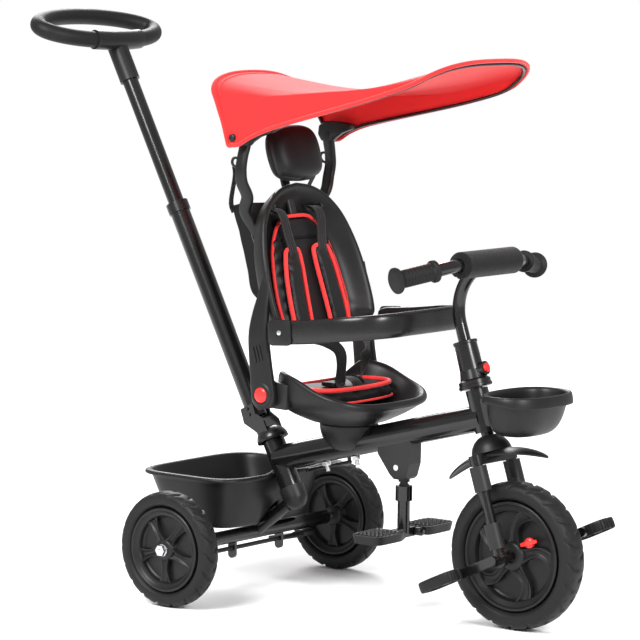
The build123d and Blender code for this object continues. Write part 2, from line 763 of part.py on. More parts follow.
seat_wall = 5
seat_outer = seat_body(0, seat_floor_z)
seat_cavity = seat_body(seat_wall, seat_floor_z + seat_wall)
with BuildPart() as seat_pan:
    add(seat_outer)
    add(seat_cavity, mode=Mode.SUBTRACT)
    with BuildSketch(Plane.XZ.offset(-200)):
        with BuildLine():
            Polyline((100, 416), (150, 416))
            Spline((150, 416), (190, 408), (250, 384), (290, 371), (330, 366), tangents=((1, 0), (1, 0)))
            Polyline((330, 366), (340, 366), (340, 440), (100, 440), (100, 416))
        make_face()
    extrude(amount=400, mode=Mode.SUBTRACT)
    with BuildSketch(back_plane.offset(8)):
        with Locations((0, 60)):
            Rectangle(220, 140)
    extrude(amount=-60, mode=Mode.SUBTRACT)
    for side in (-1, 1):
        wing_y = sorted((side * 128, side * 140))
        add(cross_bar(recline_x, recline_z, *wing_y, 26))
        with BuildSketch(side_plane(0, wing_y[1], 0)):
            with BuildLine():
                Polyline(
                    (recline_x, recline_z - 26), (170, 352), (170, 403), (recline_x, recline_z + 26),
                    (recline_x, recline_z - 26),
                )
            make_face()
        extrude(amount=12)
    add(cross_bar(recline_x, recline_z, -141, 141, 9 + running), mode=Mode.SUBTRACT)

with BuildPart() as seat_pad:
    with BuildSketch(Plane.XY.offset(352)):
        with Locations((182, 0)):
            RectangleRounded(112, 210, 40)
    extrude(amount=34)
    fillet(seat_pad.faces().sort_by(Axis.Z)[-1].edges(), 9)

# ---- backrest ----


def shell_outline(inset):
    """Half-widths of the backrest at heights above the recline pivot, as a closed curve."""
    top = 360 - inset
    waist = 144 - inset
    with BuildLine() as outline:
        Line((0, 84 + inset), (waist - 12, 84 + inset))
        Spline(
            (waist - 12, 84 + inset), (waist, 130), (waist - 1, 180), (138 - inset, 228), (126 - inset, 270),
            (109 - inset, 304), (82 - inset, 332 - inset * 0.7), (0, top),
            tangents=((0.25, 1), (-1, 0)),
        )
        mirror(about=Plane.YZ)
    return outline.line


shell_wall = 5
with BuildPart() as shell_cavity:
    with BuildSketch(back_plane.offset(shell_depth_back + shell_wall)):
        add(shell_outline(34))
        make_face()
    with BuildSketch(back_plane.offset(shell_depth_front + 1)):
        add(shell_outline(12))
        make_face()
    loft()
    with BuildSketch(back_plane.offset(shell_depth_back + shell_wall)):
        with Locations((0, 110)):
            Rectangle(204, 60)
    extrude(amount=shell_depth_front)
arm_half_low, arm_half_high = 142, 157
with BuildPart() as backrest_shell:
    with BuildSketch(back_plane.offset(shell_depth_back)):
        add(shell_outline(12))
        make_face()
    with BuildSketch(back_plane.offset(shell_depth_front)):
        add(shell_outline(0))
        make_face()
    loft()
    add(shell_cavity.part, mode=Mode.SUBTRACT)
    for side in (-1, 1):
        arm_plane = Plane(
            origin=on_plane(back_plane, side * (arm_half_low + arm_half_high) / 2 + 7.5, 0, 0),
            x_dir=back_plane.z_dir,
            z_dir=(0, -1, 0),
        )
        with BuildSketch(arm_plane):
            with BuildLine():
                Line((-25, 0), (-12, 90))
                Line((-12, 90), (40, 90))
                Line((40, 90), (25, 0))
                ThreePointArc((25, 0), (0, -25), (-25, 0))
            make_face()
        extrude(amount=arm_half_high - arm_half_low)
        shoulder = Plane(
            origin=on_plane(back_plane, side * 137 + 20, 0, 0), x_dir=back_plane.z_dir, z_dir=(0, -1, 0)
        )
        with BuildSketch(shoulder):
            with BuildLine():
                Polyline((20, 84), (80, 84), (80, 108), (24, 108), (20, 84))
            make_face()
        extrude(amount=40)
    for side in (-1, 1):
        pin_y = sorted((side * 119, side * 145.5))
        add(cross_bar(rail_pivot_x, rail_pivot_z, *pin_y, 14))
    for side in (-1, 1):
        outside = sorted((side * 157.5, side * 200))
        add(cross_bar(rail_pivot_x, rail_pivot_z, *outside, 60), mode=Mode.SUBTRACT)
        rail_room = sorted((side * 145.7, side * 200))
        add(cross_bar(rail_pivot_x, rail_pivot_z, *rail_room, 27), mode=Mode.SUBTRACT)
    add(cross_bar(rail_pivot_x, rail_pivot_z, -146, 146, 5 + running), mode=Mode.SUBTRACT)
    add(cross_bar(recline_x, recline_z, -160, 160, 14 + gap), mode=Mode.SUBTRACT)
    for side in (-1, 1):
        hub_y = sorted((side * 128, side * 144.4))
        add(cross_bar(recline_x, recline_z, *hub_y, 9))
        web_y = sorted((side * 142, side * 144.4))
        add(cross_bar(recline_x, recline_z, *web_y, 16))
    for side in (-1, 1):
        with BuildSketch(back_plane.offset(shell_depth_back - 1)):
            with Locations((side * 34, 300)):
                SlotOverall(34, 9)
        extrude(amount=20, mode=Mode.SUBTRACT)
    with BuildSketch(Plane(origin=on_plane(back_plane, 0, 300, 36), x_dir=(0, 1, 0), z_dir=back_plane.y_dir)):
        SlotOverall(20 + 2 * running, 10 + 2 * running)
    extrude(amount=80, mode=Mode.SUBTRACT)


def recline_button(side):
    """The round button in the end of one side arm."""
    low, high = sorted((side * 147.5, side * 159))
    return cross_bar(recline_x, recline_z, low, high, 14)


pad_back, pad_front = 28, 42
with BuildPart() as back_pad:
    with BuildSketch(back_plane.offset(pad_back)):
        with BuildLine():
            Line((0, 88), (80, 88))
            Spline(
                (80, 88), (92, 112), (97, 150), (90, 215), (79, 254), (60, 284), (38, 300),
                tangents=((1, 0.2), (-1, 0.4)),
            )
            Line((38, 300), (0, 300))
            mirror(about=Plane.YZ)
        make_face()
    extrude(amount=pad_front - pad_back)
    fillet(back_pad.faces().sort_by(Axis(back_plane.origin, back_plane.z_dir))[-1].edges(), 6)
with BuildPart() as shoulder_pads:
    for side in (-1, 1):
        with BuildSketch(back_plane.offset(pad_front + gap)):
            with Locations((side * 36, 205)):
                SlotOverall(130, 46, rotation=90 + side * 6)
        extrude(amount=14)

post_radius_small = 6.5
with BuildPart() as canopy_posts:
    for side in (-1, 1):
        route = [
            on_plane(back_plane, side * 74, 262, 15),
            on_plane(back_plane, side * 97, 318, 15),
            on_plane(back_plane, side * 118, 352, 34),
            (62, side * 128, 764),
            (64, side * 119, 806),
        ]
        with BuildLine():
            FilletPolyline(*route, radius=24)
        with BuildSketch(Plane(origin=route[0], z_dir=Vector(route[1]) - Vector(route[0]))):
            Circle(post_radius_small)
        sweep()
        low, high = sorted((side * 112, side * 126))
        with BuildSketch(side_plane(0, high, 0)):
            with BuildLine():
                Polyline(
                    (57, 800), (71, 800), (84, 818), (80, 832), (56, 834), (46, 824), (48, 812), (57, 800)
                )
            make_face()
        extrude(amount=high - low)
        with BuildSketch(back_plane.offset(shell_depth_back - 5)):
            with Locations((side * 74, 262)):
                SlotOverall(44, 20, rotation=90)
        extrude(amount=5)
    add(cross_bar(canopy_pivot_x, canopy_pivot_z, -150, 150, 4 + running), mode=Mode.SUBTRACT)

# ---- canopy ----
hoop_radius = 3.5
rear_hoop_y, front_hoop_y = 129, 136
rear_leg_end, rear_crown = Vector(3, 0, 890), Vector(-25, 0, 930)
front_leg_end, front_crown = Vector(425, 0, 903), Vector(515, 0, 964)
canopy_pivot = Vector(canopy_pivot_x, 0, canopy_pivot_z)


def arch_plane(base, crown):
    """A plane across the tricycle whose local y runs from the base to the crown."""
    rise = (crown - base).normalized()
    return Plane(origin=base, x_dir=(0, 1, 0), z_dir=(rise.Z, 0, -rise.X))


def hoop(half_width, leg_end, crown):
    """Two straight wire legs from the pivot and the arched wire across them."""
    with BuildPart() as wire:
        for side in (-1, 1):
            foot = canopy_pivot + Vector(0, side * half_width, 0)
            corner = leg_end + Vector(0, side * half_width, 0)
            add(bar_between(foot, corner, hoop_radius))
            with Locations(corner):
                Sphere(hoop_radius)
            y_low = side * half_width - 2.5
            add(cross_bar(canopy_pivot_x, canopy_pivot_z, y_low, y_low + 5, 10))
        with BuildLine(arch_plane(leg_end, crown)) as arch:
            EllipticalCenterArc((0, 0), half_width, (crown - leg_end).length, 0, arc_size=180)
        with BuildSketch(Plane(origin=arch.line @ 0, z_dir=arch.line % 0)):
            Circle(hoop_radius)
        sweep()
    return wire.part


with BuildPart() as rear_hoop:
    add(hoop(rear_hoop_y, rear_leg_end, rear_crown))
    for side in (-1, 1):
        add(cross_bar(canopy_pivot_x, canopy_pivot_z, *sorted((side * 110, side * 148)), 4))
        add(cross_bar(canopy_pivot_x, canopy_pivot_z, *sorted((side * 142, side * 148)), 8))
with BuildPart() as front_hoop:
    add(hoop(front_hoop_y, front_leg_end, front_crown))
    add(cross_bar(canopy_pivot_x, canopy_pivot_z, -160, 160, 4 + running), mode=Mode.SUBTRACT)

# The fabric's own solid: a thin sheet over both hoops and clear of them. Each section lies across the
# tricycle at one x, with its half-width, the height of its hem and the height of its crown.
sheet_sections = [
    (-24, 60, 935, 939),
    (-11, 119, 913, 938),
    (3, 134, 896, 934),
    (52, 140.3, 832, 922),
    (150, 140.3, 845, 911),
    (260, 140.3, 870, 909),
    (425, 140.3, 909, 941),
    (470, 120, 941, 957),
    (505, 68, 965, 971),
    (517, 30, 971, 974),
]
sheet_thickness = 2.5
with BuildPart() as canopy:
    for x, half_width, hem_z, crown_z in sheet_sections:
        with BuildSketch(Plane(origin=(x, 0, hem_z), x_dir=(0, 1, 0), z_dir=(1, 0, 0))):
            with BuildLine():
                height = crown_z - hem_z
                outer = half_width + sheet_thickness
                EllipticalCenterArc((0, 0), outer, height + sheet_thickness, 0, arc_size=180)
                EllipticalCenterArc((0, 0), half_width, height, 0, arc_size=180)
                Line((half_width, 0), (outer, 0))
                Line((-half_width, 0), (-outer, 0))
            make_face()
    loft(ruled=True)

# ---- on the backrest ----
with BuildPart() as storage_bag:
    with BuildSketch(back_plane.offset(-23)):
        with Locations((0, 245)):
            RectangleRounded(127, 180, 40)
    extrude(amount=33)

rail_half_height = 21
rail_rise = 4
rail_plane = Plane(
    origin=(rail_pivot_x, 0, rail_pivot_z),
    x_dir=(cos(radians(rail_rise)), 0, sin(radians(rail_rise))),
    z_dir=(-sin(radians(rail_rise)), 0, cos(radians(rail_rise))),
)
rail_length, rail_wall = 220, 14
rail_inside = rail_length - rail_wall
with BuildPart() as guard_rail:
    with BuildSketch(rail_plane.offset(-rail_half_height)):
        with BuildLine():
            rail_outer = FilletPolyline(
                (0, -160), (rail_length, -160), (rail_length, 160), (0, 160), radius=84
            )
            rail_inner = FilletPolyline(
                (0, -146), (rail_inside, -146), (rail_inside, 146), (0, 146), radius=70
            )
            Line(rail_outer @ 0, rail_inner @ 0)
            Line(rail_outer @ 1, rail_inner @ 1)
        make_face()
    extrude(amount=2 * rail_half_height)
    for side in (-1, 1):
        leg_y = sorted((side * 146, side * 160))
        add(cross_bar(rail_pivot_x, rail_pivot_z, *leg_y, rail_half_height))
        pin_y = sorted((side * 128, side * 147))
        add(cross_bar(rail_pivot_x, rail_pivot_z, *pin_y, 5))

headrest_centre = Vector(72, 0, 787)
with BuildPart() as headrest:
    with BuildSketch(Plane(origin=headrest_centre, x_dir=(0, 1, 0), z_dir=back_plane.z_dir).offset(-20)):
        RectangleRounded(146, 98, 38)
    extrude(amount=42)
    fillet(headrest.edges().filter_by(GeomType.LINE, reverse=True), 12)
stem_foot = on_plane(back_plane, 0, 308, 36)
with BuildPart() as headrest_stem:
    with BuildSketch(Plane(origin=stem_foot, x_dir=(0, 1, 0), z_dir=back_plane.y_dir)):
        SlotOverall(20, 10)
    extrude(amount=112)
    add(headrest.part, mode=Mode.SUBTRACT)

# ---- footrest ----
with BuildPart() as footrest_post:
    with BuildSketch(Plane.XY.offset(foot_plate_z)):
        with Locations((footrest_x, 0)):
            Circle(11)
    extrude(amount=footrest_knuckle_z - foot_plate_z - 12)
    with BuildSketch(Plane.XY.offset(footrest_knuckle_z - 13)):
        with Locations((footrest_x, 0)):
            Circle(15)
    extrude(amount=26)
    with BuildSketch(side_plane(footrest_x, 3 + gap, footrest_knuckle_z)):
        with Locations((0, 2)):
            Rectangle(34, 27)
    extrude(amount=6 + 2 * gap, mode=Mode.SUBTRACT)
    add(cross_bar(footrest_x, footrest_knuckle_z, -13, 13, 4))
    with BuildSketch(Plane.XY.offset(foot_plate_z - 8)):
        with Locations((footrest_x, 0)):
            Rectangle(14, 2 * foot_hinge_y)
    extrude(amount=16)
    for side in (-1, 1):
        with BuildSketch(Plane(origin=(footrest_x - 7, side * foot_hinge_y, foot_plate_z), z_dir=(1, 0, 0))):
            Circle(8)
        extrude(amount=14)
        with BuildSketch(Plane(origin=(footrest_x - 24, side * foot_hinge_y, foot_plate_z), z_dir=(1, 0, 0))):
            Circle(3.5)
        extrude(amount=48)


def foot_plate(side):
    """One hinged foot plate: a shallow tray with two hinge barrels at its inner end."""
    with BuildPart() as plate:
        with BuildSketch(Plane.XY.offset(foot_plate_z - 8)):
            with Locations((footrest_x, side * 77)):
                RectangleRounded(62, 80, 24)
            with Locations((footrest_x, side * 47)):
                Rectangle(56, 20)
        extrude(amount=18)
        with BuildSketch(Plane.XY.offset(foot_plate_z - 9)):
            with Locations((footrest_x, side * 77)):
                RectangleRounded(52, 70, 20)
        extrude(amount=15, mode=Mode.SUBTRACT)
        for x in (footrest_x - 20, footrest_x + 8):
            hinge_point = (x, side * foot_hinge_y, foot_plate_z)
            hinge_plane = Plane(origin=hinge_point, x_dir=(0, 1, 0), z_dir=(1, 0, 0))
            with BuildSketch(hinge_plane):
                Circle(7.5)
                with Locations((side * 7, 0)):
                    Rectangle(14, 14)
                Circle(3.5 + running, mode=Mode.SUBTRACT)
            extrude(amount=12)
    return plate.part


nodes = {
    "main_tube": main_tube.part,
    "head_tube": head_tube.part,
    "rear_post": rear_post.part,
    "post_foot": post_foot.part,
    "axle_beam": axle_beam.part,
    "rear_axle": rear_axle.part,
    "seat_cup": seat_cup.part,
    "footrest_housing": footrest_housing.part,
    "frame_fasteners": frame_fasteners.part,
    "rear_basket": rear_basket.part,
    "front_basket": front_basket.part,
    "fork": fork.part,
    "fork_covers": fork_covers.part,
    "fender": fender.part,
    "headset_bearings": headset_bearings.part,
    "stem": stem.part,
    "handlebar": handlebar.part,
    "foam_sleeve": foam_sleeve.part,
    "grips": grips.part,
    "stem_collar": stem_collar.part,
    "stem_button": stem_button.part,
    "front_rim": front_rim.part,
    "front_tyre": front_tyre.part,
    "front_bushes": front_bushes.part,
    "clutch_knob": clutch_knob.part,
    "crank": crank.part,
    "left_pedal": left_pedal_part,
    "right_pedal": right_pedal_part,
    "brake_pedals": brake_pedals.part,
    "handle_shaft": handle_shaft.part,
    "post_cap": post_cap.part,
    "lower_handle_tube": lower_handle_tube.part,
    "handle_collar": handle_collar.part,
    "upper_handle_tube": upper_handle_tube.part,
    "push_grip": push_grip.part,
    "grip_tee": grip_tee.part,
    "steering_rod": steering_rod.part,
    "swivel_plate": swivel_plate.part,
    "seat_pan": seat_pan.part,
    "seat_pad": seat_pad.part,
    "backrest_shell": backrest_shell.part,
    "left_recline_button": recline_button(1),
    "right_recline_button": recline_button(-1),
    "back_pad": back_pad.part,
    "shoulder_pads": shoulder_pads.part,
    "canopy_posts": canopy_posts.part,
    "rear_hoop": rear_hoop.part,
    "front_hoop": front_hoop.part,
    "canopy": canopy.part,
    "storage_bag": storage_bag.part,
    "guard_rail": guard_rail.part,
    "headrest": headrest.part,
    "headrest_stem": headrest_stem.part,
    "footrest_post": footrest_post.part,
    "left_foot_plate": foot_plate(1),
    "right_foot_plate": foot_plate(-1),
    **rear_parts,
}

os.makedirs("parts", exist_ok=True)
for node_name, node_part in nodes.items():
    node_part.label = node_name
    export_step(node_part, "parts/" + node_name + ".step")
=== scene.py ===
import bpy
import bmesh
from math import cos, degrees, exp, pi, radians, sin, sqrt
from mathutils import Matrix, Vector, noise


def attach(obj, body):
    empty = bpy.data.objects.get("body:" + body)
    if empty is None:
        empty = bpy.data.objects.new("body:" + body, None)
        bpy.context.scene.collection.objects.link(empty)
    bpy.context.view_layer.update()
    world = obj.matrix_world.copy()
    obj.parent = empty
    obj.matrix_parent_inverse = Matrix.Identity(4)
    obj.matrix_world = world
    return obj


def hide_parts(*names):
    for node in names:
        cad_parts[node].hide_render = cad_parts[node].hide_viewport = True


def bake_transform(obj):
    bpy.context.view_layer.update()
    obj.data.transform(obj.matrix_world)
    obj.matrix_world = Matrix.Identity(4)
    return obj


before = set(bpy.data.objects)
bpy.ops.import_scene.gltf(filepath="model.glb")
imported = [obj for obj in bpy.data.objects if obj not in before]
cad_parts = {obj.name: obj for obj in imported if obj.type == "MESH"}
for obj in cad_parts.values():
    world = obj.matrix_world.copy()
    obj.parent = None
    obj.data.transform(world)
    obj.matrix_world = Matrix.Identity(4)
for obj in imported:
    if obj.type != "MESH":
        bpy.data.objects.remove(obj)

# A children's tricycle: lengths below are in millimetres, +X forward, +Y the rider's left, +Z up.
metre = 0.001
frontAxle = (570, 0, 127)
reclineAxis = (134, 0, 377)
railAxis = (178, 0, 490)
headLean, backLean, railLean = 18.0, 17.5, 4.0
bothSides = ((-1, "Right"), (1, "Left"))
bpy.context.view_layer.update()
print("stage: frame loaded")

# The camera, and a white studio with three area lamps.
view = dict(position=(3.5882, -4.4612, 1.1096), target=(0.1404, 0.0, 0.4966), roll=0.7, lens=180.3)
camera = bpy.data.objects.new("camera", bpy.data.cameras.new("camera"))
bpy.context.scene.collection.objects.link(camera)
camera.data.lens = view["lens"]
camera.data.sensor_width = 36
camera.data.clip_end = 100
camera.location = view["position"]
sight = Vector(view["target"]) - Vector(view["position"])
aim = sight.to_track_quat("-Z", "Y").to_matrix() @ Matrix.Rotation(radians(view["roll"]), 3, "Z")
camera.rotation_euler = aim.to_euler()
bpy.context.scene.camera = camera
bpy.context.scene.view_settings.view_transform = "Standard"

studio = dict(sky=(1.0, 1.0, 1.0), skyStrength=0.62, floorTint=(0.97, 0.97, 0.97), floorSize=6.4)
lamps = [
    dict(name="keyLamp", at=(0.2, -3.6, 3.4), size=1.8, power=260),
    dict(name="sideLamp", at=(3.6, -1.2, 2.2), size=0.8, power=110),
    dict(name="rearLamp", at=(-2.6, 2.4, 2.8), size=2.0, power=130),
]
world = bpy.data.worlds.new("studio")
bpy.context.scene.world = world
world.use_nodes = True
sky = world.node_tree
sky.nodes["Background"].inputs["Color"].default_value = (*studio["sky"], 1)
sky.nodes["Background"].inputs["Strength"].default_value = studio["skyStrength"]
backdrop = sky.nodes.new("ShaderNodeBackground")
backdrop.inputs["Color"].default_value = (1, 1, 1, 1)
rays = sky.nodes.new("ShaderNodeLightPath")
choice = sky.nodes.new("ShaderNodeMixShader")
sky.links.new(rays.outputs["Is Camera Ray"], choice.inputs[0])
sky.links.new(sky.nodes["Background"].outputs[0], choice.inputs[1])
sky.links.new(backdrop.outputs[0], choice.inputs[2])
sky.links.new(choice.outputs[0], sky.nodes["World Output"].inputs[0])
for lamp in lamps:
    light = bpy.data.lights.new(lamp["name"], "AREA")
    light.size = lamp["size"]
    light.energy = lamp["power"]
    holder = bpy.data.objects.new(lamp["name"], light)
    holder.location = lamp["at"]
    holder.rotation_euler = (Vector((0.15, 0, 0.5)) - holder.location).to_track_quat("-Z", "Y").to_euler()
    bpy.context.scene.collection.objects.link(holder)

# Materials: one maker, then one named material for each finish.


def addNode(tree, kind, **values):
    node = tree.nodes.new(kind)
    for key, value in values.items():
        if key in node.inputs:
            node.inputs[key].default_value = value
        else:
            setattr(node, key, value)
    return node


def patternSource(tree, useUv, scale):
    coords = addNode(tree, "ShaderNodeTexCoord")
    mapping = addNode(tree, "ShaderNodeMapping")
    mapping.inputs["Scale"].default_value = scale
    tree.links.new(coords.outputs["UV" if useUv else "Object"], mapping.inputs["Vector"])
    return mapping.outputs["Vector"]


def makeMaterial(name, color, rough, metal=0.0, coat=0.0, sheen=0.0, mottle=0.0, mottleScale=14.0,
                 roughSpread=0.0, bumps=(), subsurface=0.0, dust=0.0, gleam=0.5):
    material = bpy.data.materials.new(name)
    material.use_nodes = True
    tree = material.node_tree
    shader = tree.nodes["Principled BSDF"]
    shader.inputs["Base Color"].default_value = (*color, 1)
    shader.inputs["Roughness"].default_value = rough
    shader.inputs["Metallic"].default_value = metal
    shader.inputs["Specular IOR Level"].default_value = gleam
    shader.inputs["Coat Weight"].default_value = coat
    shader.inputs["Coat Roughness"].default_value = 0.12
    shader.inputs["Sheen Weight"].default_value = sheen
    shader.inputs["Sheen Roughness"].default_value = 0.45
    place = patternSource(tree, False, (1, 1, 1))
    if mottle:
        cloud = addNode(tree, "ShaderNodeTexNoise", Scale=mottleScale, Detail=5.0)
        tree.links.new(place, cloud.inputs["Vector"])
        ramp = addNode(tree, "ShaderNodeMapRange")
        ramp.inputs["To Min"].default_value = 1 - mottle
        ramp.inputs["To Max"].default_value = 1 + mottle
        tree.links.new(cloud.outputs["Fac"], ramp.inputs["Value"])
        tint = addNode(tree, "ShaderNodeVectorMath", operation="SCALE")
        tint.inputs[0].default_value = color
        tree.links.new(ramp.outputs["Result"], tint.inputs["Scale"])
        base = tint.outputs["Vector"]
        if dust:
            geometry = addNode(tree, "ShaderNodeNewGeometry")
            edge = addNode(tree, "ShaderNodeMapRange")
            edge.inputs["From Min"].default_value = 0.53
            edge.inputs["From Max"].default_value = 0.62
            edge.inputs["To Max"].default_value = dust
            tree.links.new(geometry.outputs["Pointiness"], edge.inputs["Value"])
            mix = addNode(tree, "ShaderNodeMix", data_type="RGBA")
            mix.inputs[7].default_value = (*[min(1, c * 2.2 + 0.02) for c in color], 1)
            tree.links.new(edge.outputs["Result"], mix.inputs[0])
            tree.links.new(base, mix.inputs[6])
            base = mix.outputs[2]
        tree.links.new(base, shader.inputs["Base Color"])
    if roughSpread:
        smear = addNode(tree, "ShaderNodeTexNoise", Scale=22.0, Detail=6.0)
        tree.links.new(place, smear.inputs["Vector"])
        spread = addNode(tree, "ShaderNodeMapRange")
        spread.inputs["To Min"].default_value = max(0.03, rough - roughSpread)
        spread.inputs["To Max"].default_value = min(1.0, rough + roughSpread)
        tree.links.new(smear.outputs["Fac"], spread.inputs["Value"])
        tree.links.new(spread.outputs["Result"], shader.inputs["Roughness"])
    normal = None
    for bump in bumps:
        source = patternSource(tree, bump.get("uv", False), bump.get("stretch", (1, 1, 1)))
        if bump["kind"] == "noise":
            texture = addNode(tree, "ShaderNodeTexNoise", Scale=bump["scale"], Detail=bump.get("detail", 3.0))
            height = texture.outputs["Fac"]
        elif bump["kind"] == "cells":
            texture = addNode(tree, "ShaderNodeTexVoronoi", Scale=bump["scale"], feature="SMOOTH_F1")
            height = texture.outputs["Distance"]
        else:
            texture = addNode(tree, "ShaderNodeTexWave", Scale=bump["scale"], wave_profile="SIN")
            texture.bands_direction = bump["direction"]
            texture.inputs["Distortion"].default_value = bump.get("wobble", 0.0)
            height = texture.outputs["Fac"]
        tree.links.new(source, texture.inputs["Vector"])
        relief = addNode(tree, "ShaderNodeBump", Strength=bump["strength"], Distance=bump["depth"] * metre)
        tree.links.new(height, relief.inputs["Height"])
        if normal:
            tree.links.new(normal, relief.inputs["Normal"])
        normal = relief.outputs["Normal"]
    if normal:
        tree.links.new(normal, shader.inputs["Normal"])
    if subsurface:
        shader.inputs["Subsurface Weight"].default_value = subsurface
        shader.inputs["Subsurface Radius"].default_value = (0.012, 0.002, 0.002)
    return material


fineGrain = dict(kind="noise", scale=1500, strength=0.25, depth=0.25)
coarseGrain = dict(kind="noise", scale=900, strength=0.5, depth=0.35, detail=4.0)
orangePeel = dict(kind="noise", scale=160, strength=0.12, depth=0.2, detail=1.0)
leatherGrain = dict(kind="cells", scale=620, strength=0.35, depth=0.5)
weaveAcross = dict(kind="wave", scale=190, strength=0.35, depth=0.25, direction="X", uv=True)
weaveAlong = dict(kind="wave", scale=190, strength=0.35, depth=0.25, direction="Y", uv=True)
webAcross = dict(kind="wave", scale=150, strength=0.7, depth=0.5, direction="X", uv=True)
webAlong = dict(kind="wave", scale=260, strength=0.6, depth=0.4, direction="Y", uv=True)

satinPlastic = makeMaterial("satinPlastic", (0.0075, 0.0075, 0.0078), 0.40, gleam=0.26, mottle=0.18,
                            roughSpread=0.07, bumps=[fineGrain], dust=0.35)
grainPlastic = makeMaterial("grainPlastic", (0.009, 0.009, 0.0092), 0.47, gleam=0.2, mottle=0.15,
                            roughSpread=0.06, bumps=[coarseGrain], dust=0.3)
glossPlastic = makeMaterial("glossPlastic", (0.006, 0.006, 0.0062), 0.27, gleam=0.4, mottle=0.12,
                            roughSpread=0.06, bumps=[orangePeel])
paintedSteel = makeMaterial("paintedSteel", (0.005, 0.005, 0.0053), 0.21, gleam=0.35, coat=0.25, mottle=0.1,
                            roughSpread=0.05, bumps=[orangePeel])
tyreRubber = makeMaterial("tyreRubber", (0.010, 0.010, 0.0101), 0.50, gleam=0.2, mottle=0.25, mottleScale=30,
                          roughSpread=0.1, bumps=[coarseGrain], dust=0.5)
gripRubber = makeMaterial("gripRubber", (0.008, 0.008, 0.008), 0.52, gleam=0.2, mottle=0.15, roughSpread=0.06,
                          bumps=[fineGrain])
foamSkin = makeMaterial("foamSkin", (0.007, 0.007, 0.007), 0.85, gleam=0.1, sheen=0.15, mottle=0.3,
                        mottleScale=300, bumps=[dict(kind="cells", scale=1100, strength=0.8, depth=0.6)])
leather = makeMaterial("leather", (0.008, 0.008, 0.0086), 0.46, gleam=0.24, mottle=0.15, roughSpread=0.08,
                       bumps=[leatherGrain])
canopyCloth = makeMaterial("canopyCloth", (0.70, 0.017, 0.018), 0.70, gleam=0.15, sheen=0.18, mottle=0.06,
                           mottleScale=9, bumps=[weaveAcross, weaveAlong])
hemCloth = makeMaterial("hemCloth", (0.60, 0.020, 0.020), 0.66, gleam=0.15, sheen=0.3, mottle=0.08,
                        mottleScale=40, bumps=[weaveAcross, weaveAlong])
pipingCloth = makeMaterial("pipingCloth", (0.82, 0.032, 0.030), 0.55, gleam=0.2, sheen=0.2, mottle=0.08,
                           mottleScale=60, bumps=[dict(kind="noise", scale=1400, strength=0.4, depth=0.3)])
webbing = makeMaterial("webbing", (0.007, 0.007, 0.0073), 0.62, gleam=0.12, sheen=0.2, mottle=0.2,
                       mottleScale=50, bumps=[webAcross, webAlong])
bagCloth = makeMaterial("bagCloth", (0.008, 0.008, 0.0085), 0.75, gleam=0.12, sheen=0.25, mottle=0.2,
                        mottleScale=25, bumps=[weaveAcross, weaveAlong])
redPlastic = makeMaterial("redPlastic", (0.78, 0.022, 0.018), 0.30, gleam=0.45, mottle=0.05, mottleScale=30,
                          bumps=[orangePeel])
zinc = makeMaterial("zinc", (0.62, 0.62, 0.64), 0.26, metal=1.0, mottle=0.1, roughSpread=0.1,
                    bumps=[dict(kind="noise", scale=700, strength=0.1, depth=0.1)])
floorPaint = makeMaterial("floorPaint", studio["floorTint"], 0.8, gleam=0.1, mottle=0.004, mottleScale=0.5)
print("stage: materials")

# Each leaning part has a frame of its own, with local Z along the part and local X ahead of it.


def leanFrame(origin, lean):
    c, s = cos(radians(lean)), sin(radians(lean))
    turn = Matrix(((c, 0, -s), (0, 1, 0), (s, 0, c))).to_4x4()
    return Matrix.Translation(Vector(origin)) @ turn


steerFrame = leanFrame(frontAxle, headLean)
backFrame = leanFrame(reclineAxis, backLean)
railFrame = leanFrame(railAxis, railLean)


def inBack(w, u, v):
    return backFrame @ Vector((v, w, u))


def splinePoint(points, t):
    count = len(points) - 1
    step = min(int(t * count), count - 1)
    f = t * count - step
    a = points[max(step - 1, 0)]
    b, c = points[step], points[step + 1]
    d = points[min(step + 2, count)]
    bend = (2 * a - 5 * b + 4 * c - d) * f * f
    return 0.5 * ((2 * b) + (c - a) * f + bend + (3 * b - a - 3 * c + d) * f ** 3)


def tableStep(table, t):
    step = t * (len(table) - 1)
    i = min(int(step), len(table) - 2)
    return i, step - i


def blendValue(table, t):
    return splinePoint([Vector(row) for row in table], t)


def smoothStep(low, high, value):
    t = max(0.0, min(1.0, (value - low) / (high - low)))
    return t * t * (3 - 2 * t)


def superRound(angle, power):
    c, s = cos(angle), sin(angle)
    return (abs(c) ** (2 / power) * (1 if c >= 0 else -1), abs(s) ** (2 / power) * (1 if s >= 0 else -1))


def showMesh(name, mesh, body, material, replaces=()):
    mesh.materials.append(material)
    piece = bpy.data.objects.new(name, mesh)
    bpy.context.scene.collection.objects.link(piece)
    if body:
        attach(piece, body)
    if replaces:
        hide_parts(*replaces)
    return piece


def finishPiece(name, bm, body, material, replaces=(), sharp=38, merge=0.02, keepNormals=False):
    bmesh.ops.remove_doubles(bm, verts=bm.verts, dist=merge)
    bmesh.ops.dissolve_degenerate(bm, edges=bm.edges, dist=merge)
    if not keepNormals:
        bmesh.ops.recalc_face_normals(bm, faces=bm.faces)
    bmesh.ops.scale(bm, vec=(metre, metre, metre), verts=bm.verts)
    mesh = bpy.data.meshes.new(name)
    bm.to_mesh(mesh)
    bm.free()
    mesh.shade_smooth()
    mesh.set_sharp_from_angle(angle=radians(sharp))
    return showMesh(name, mesh, body, material, replaces)


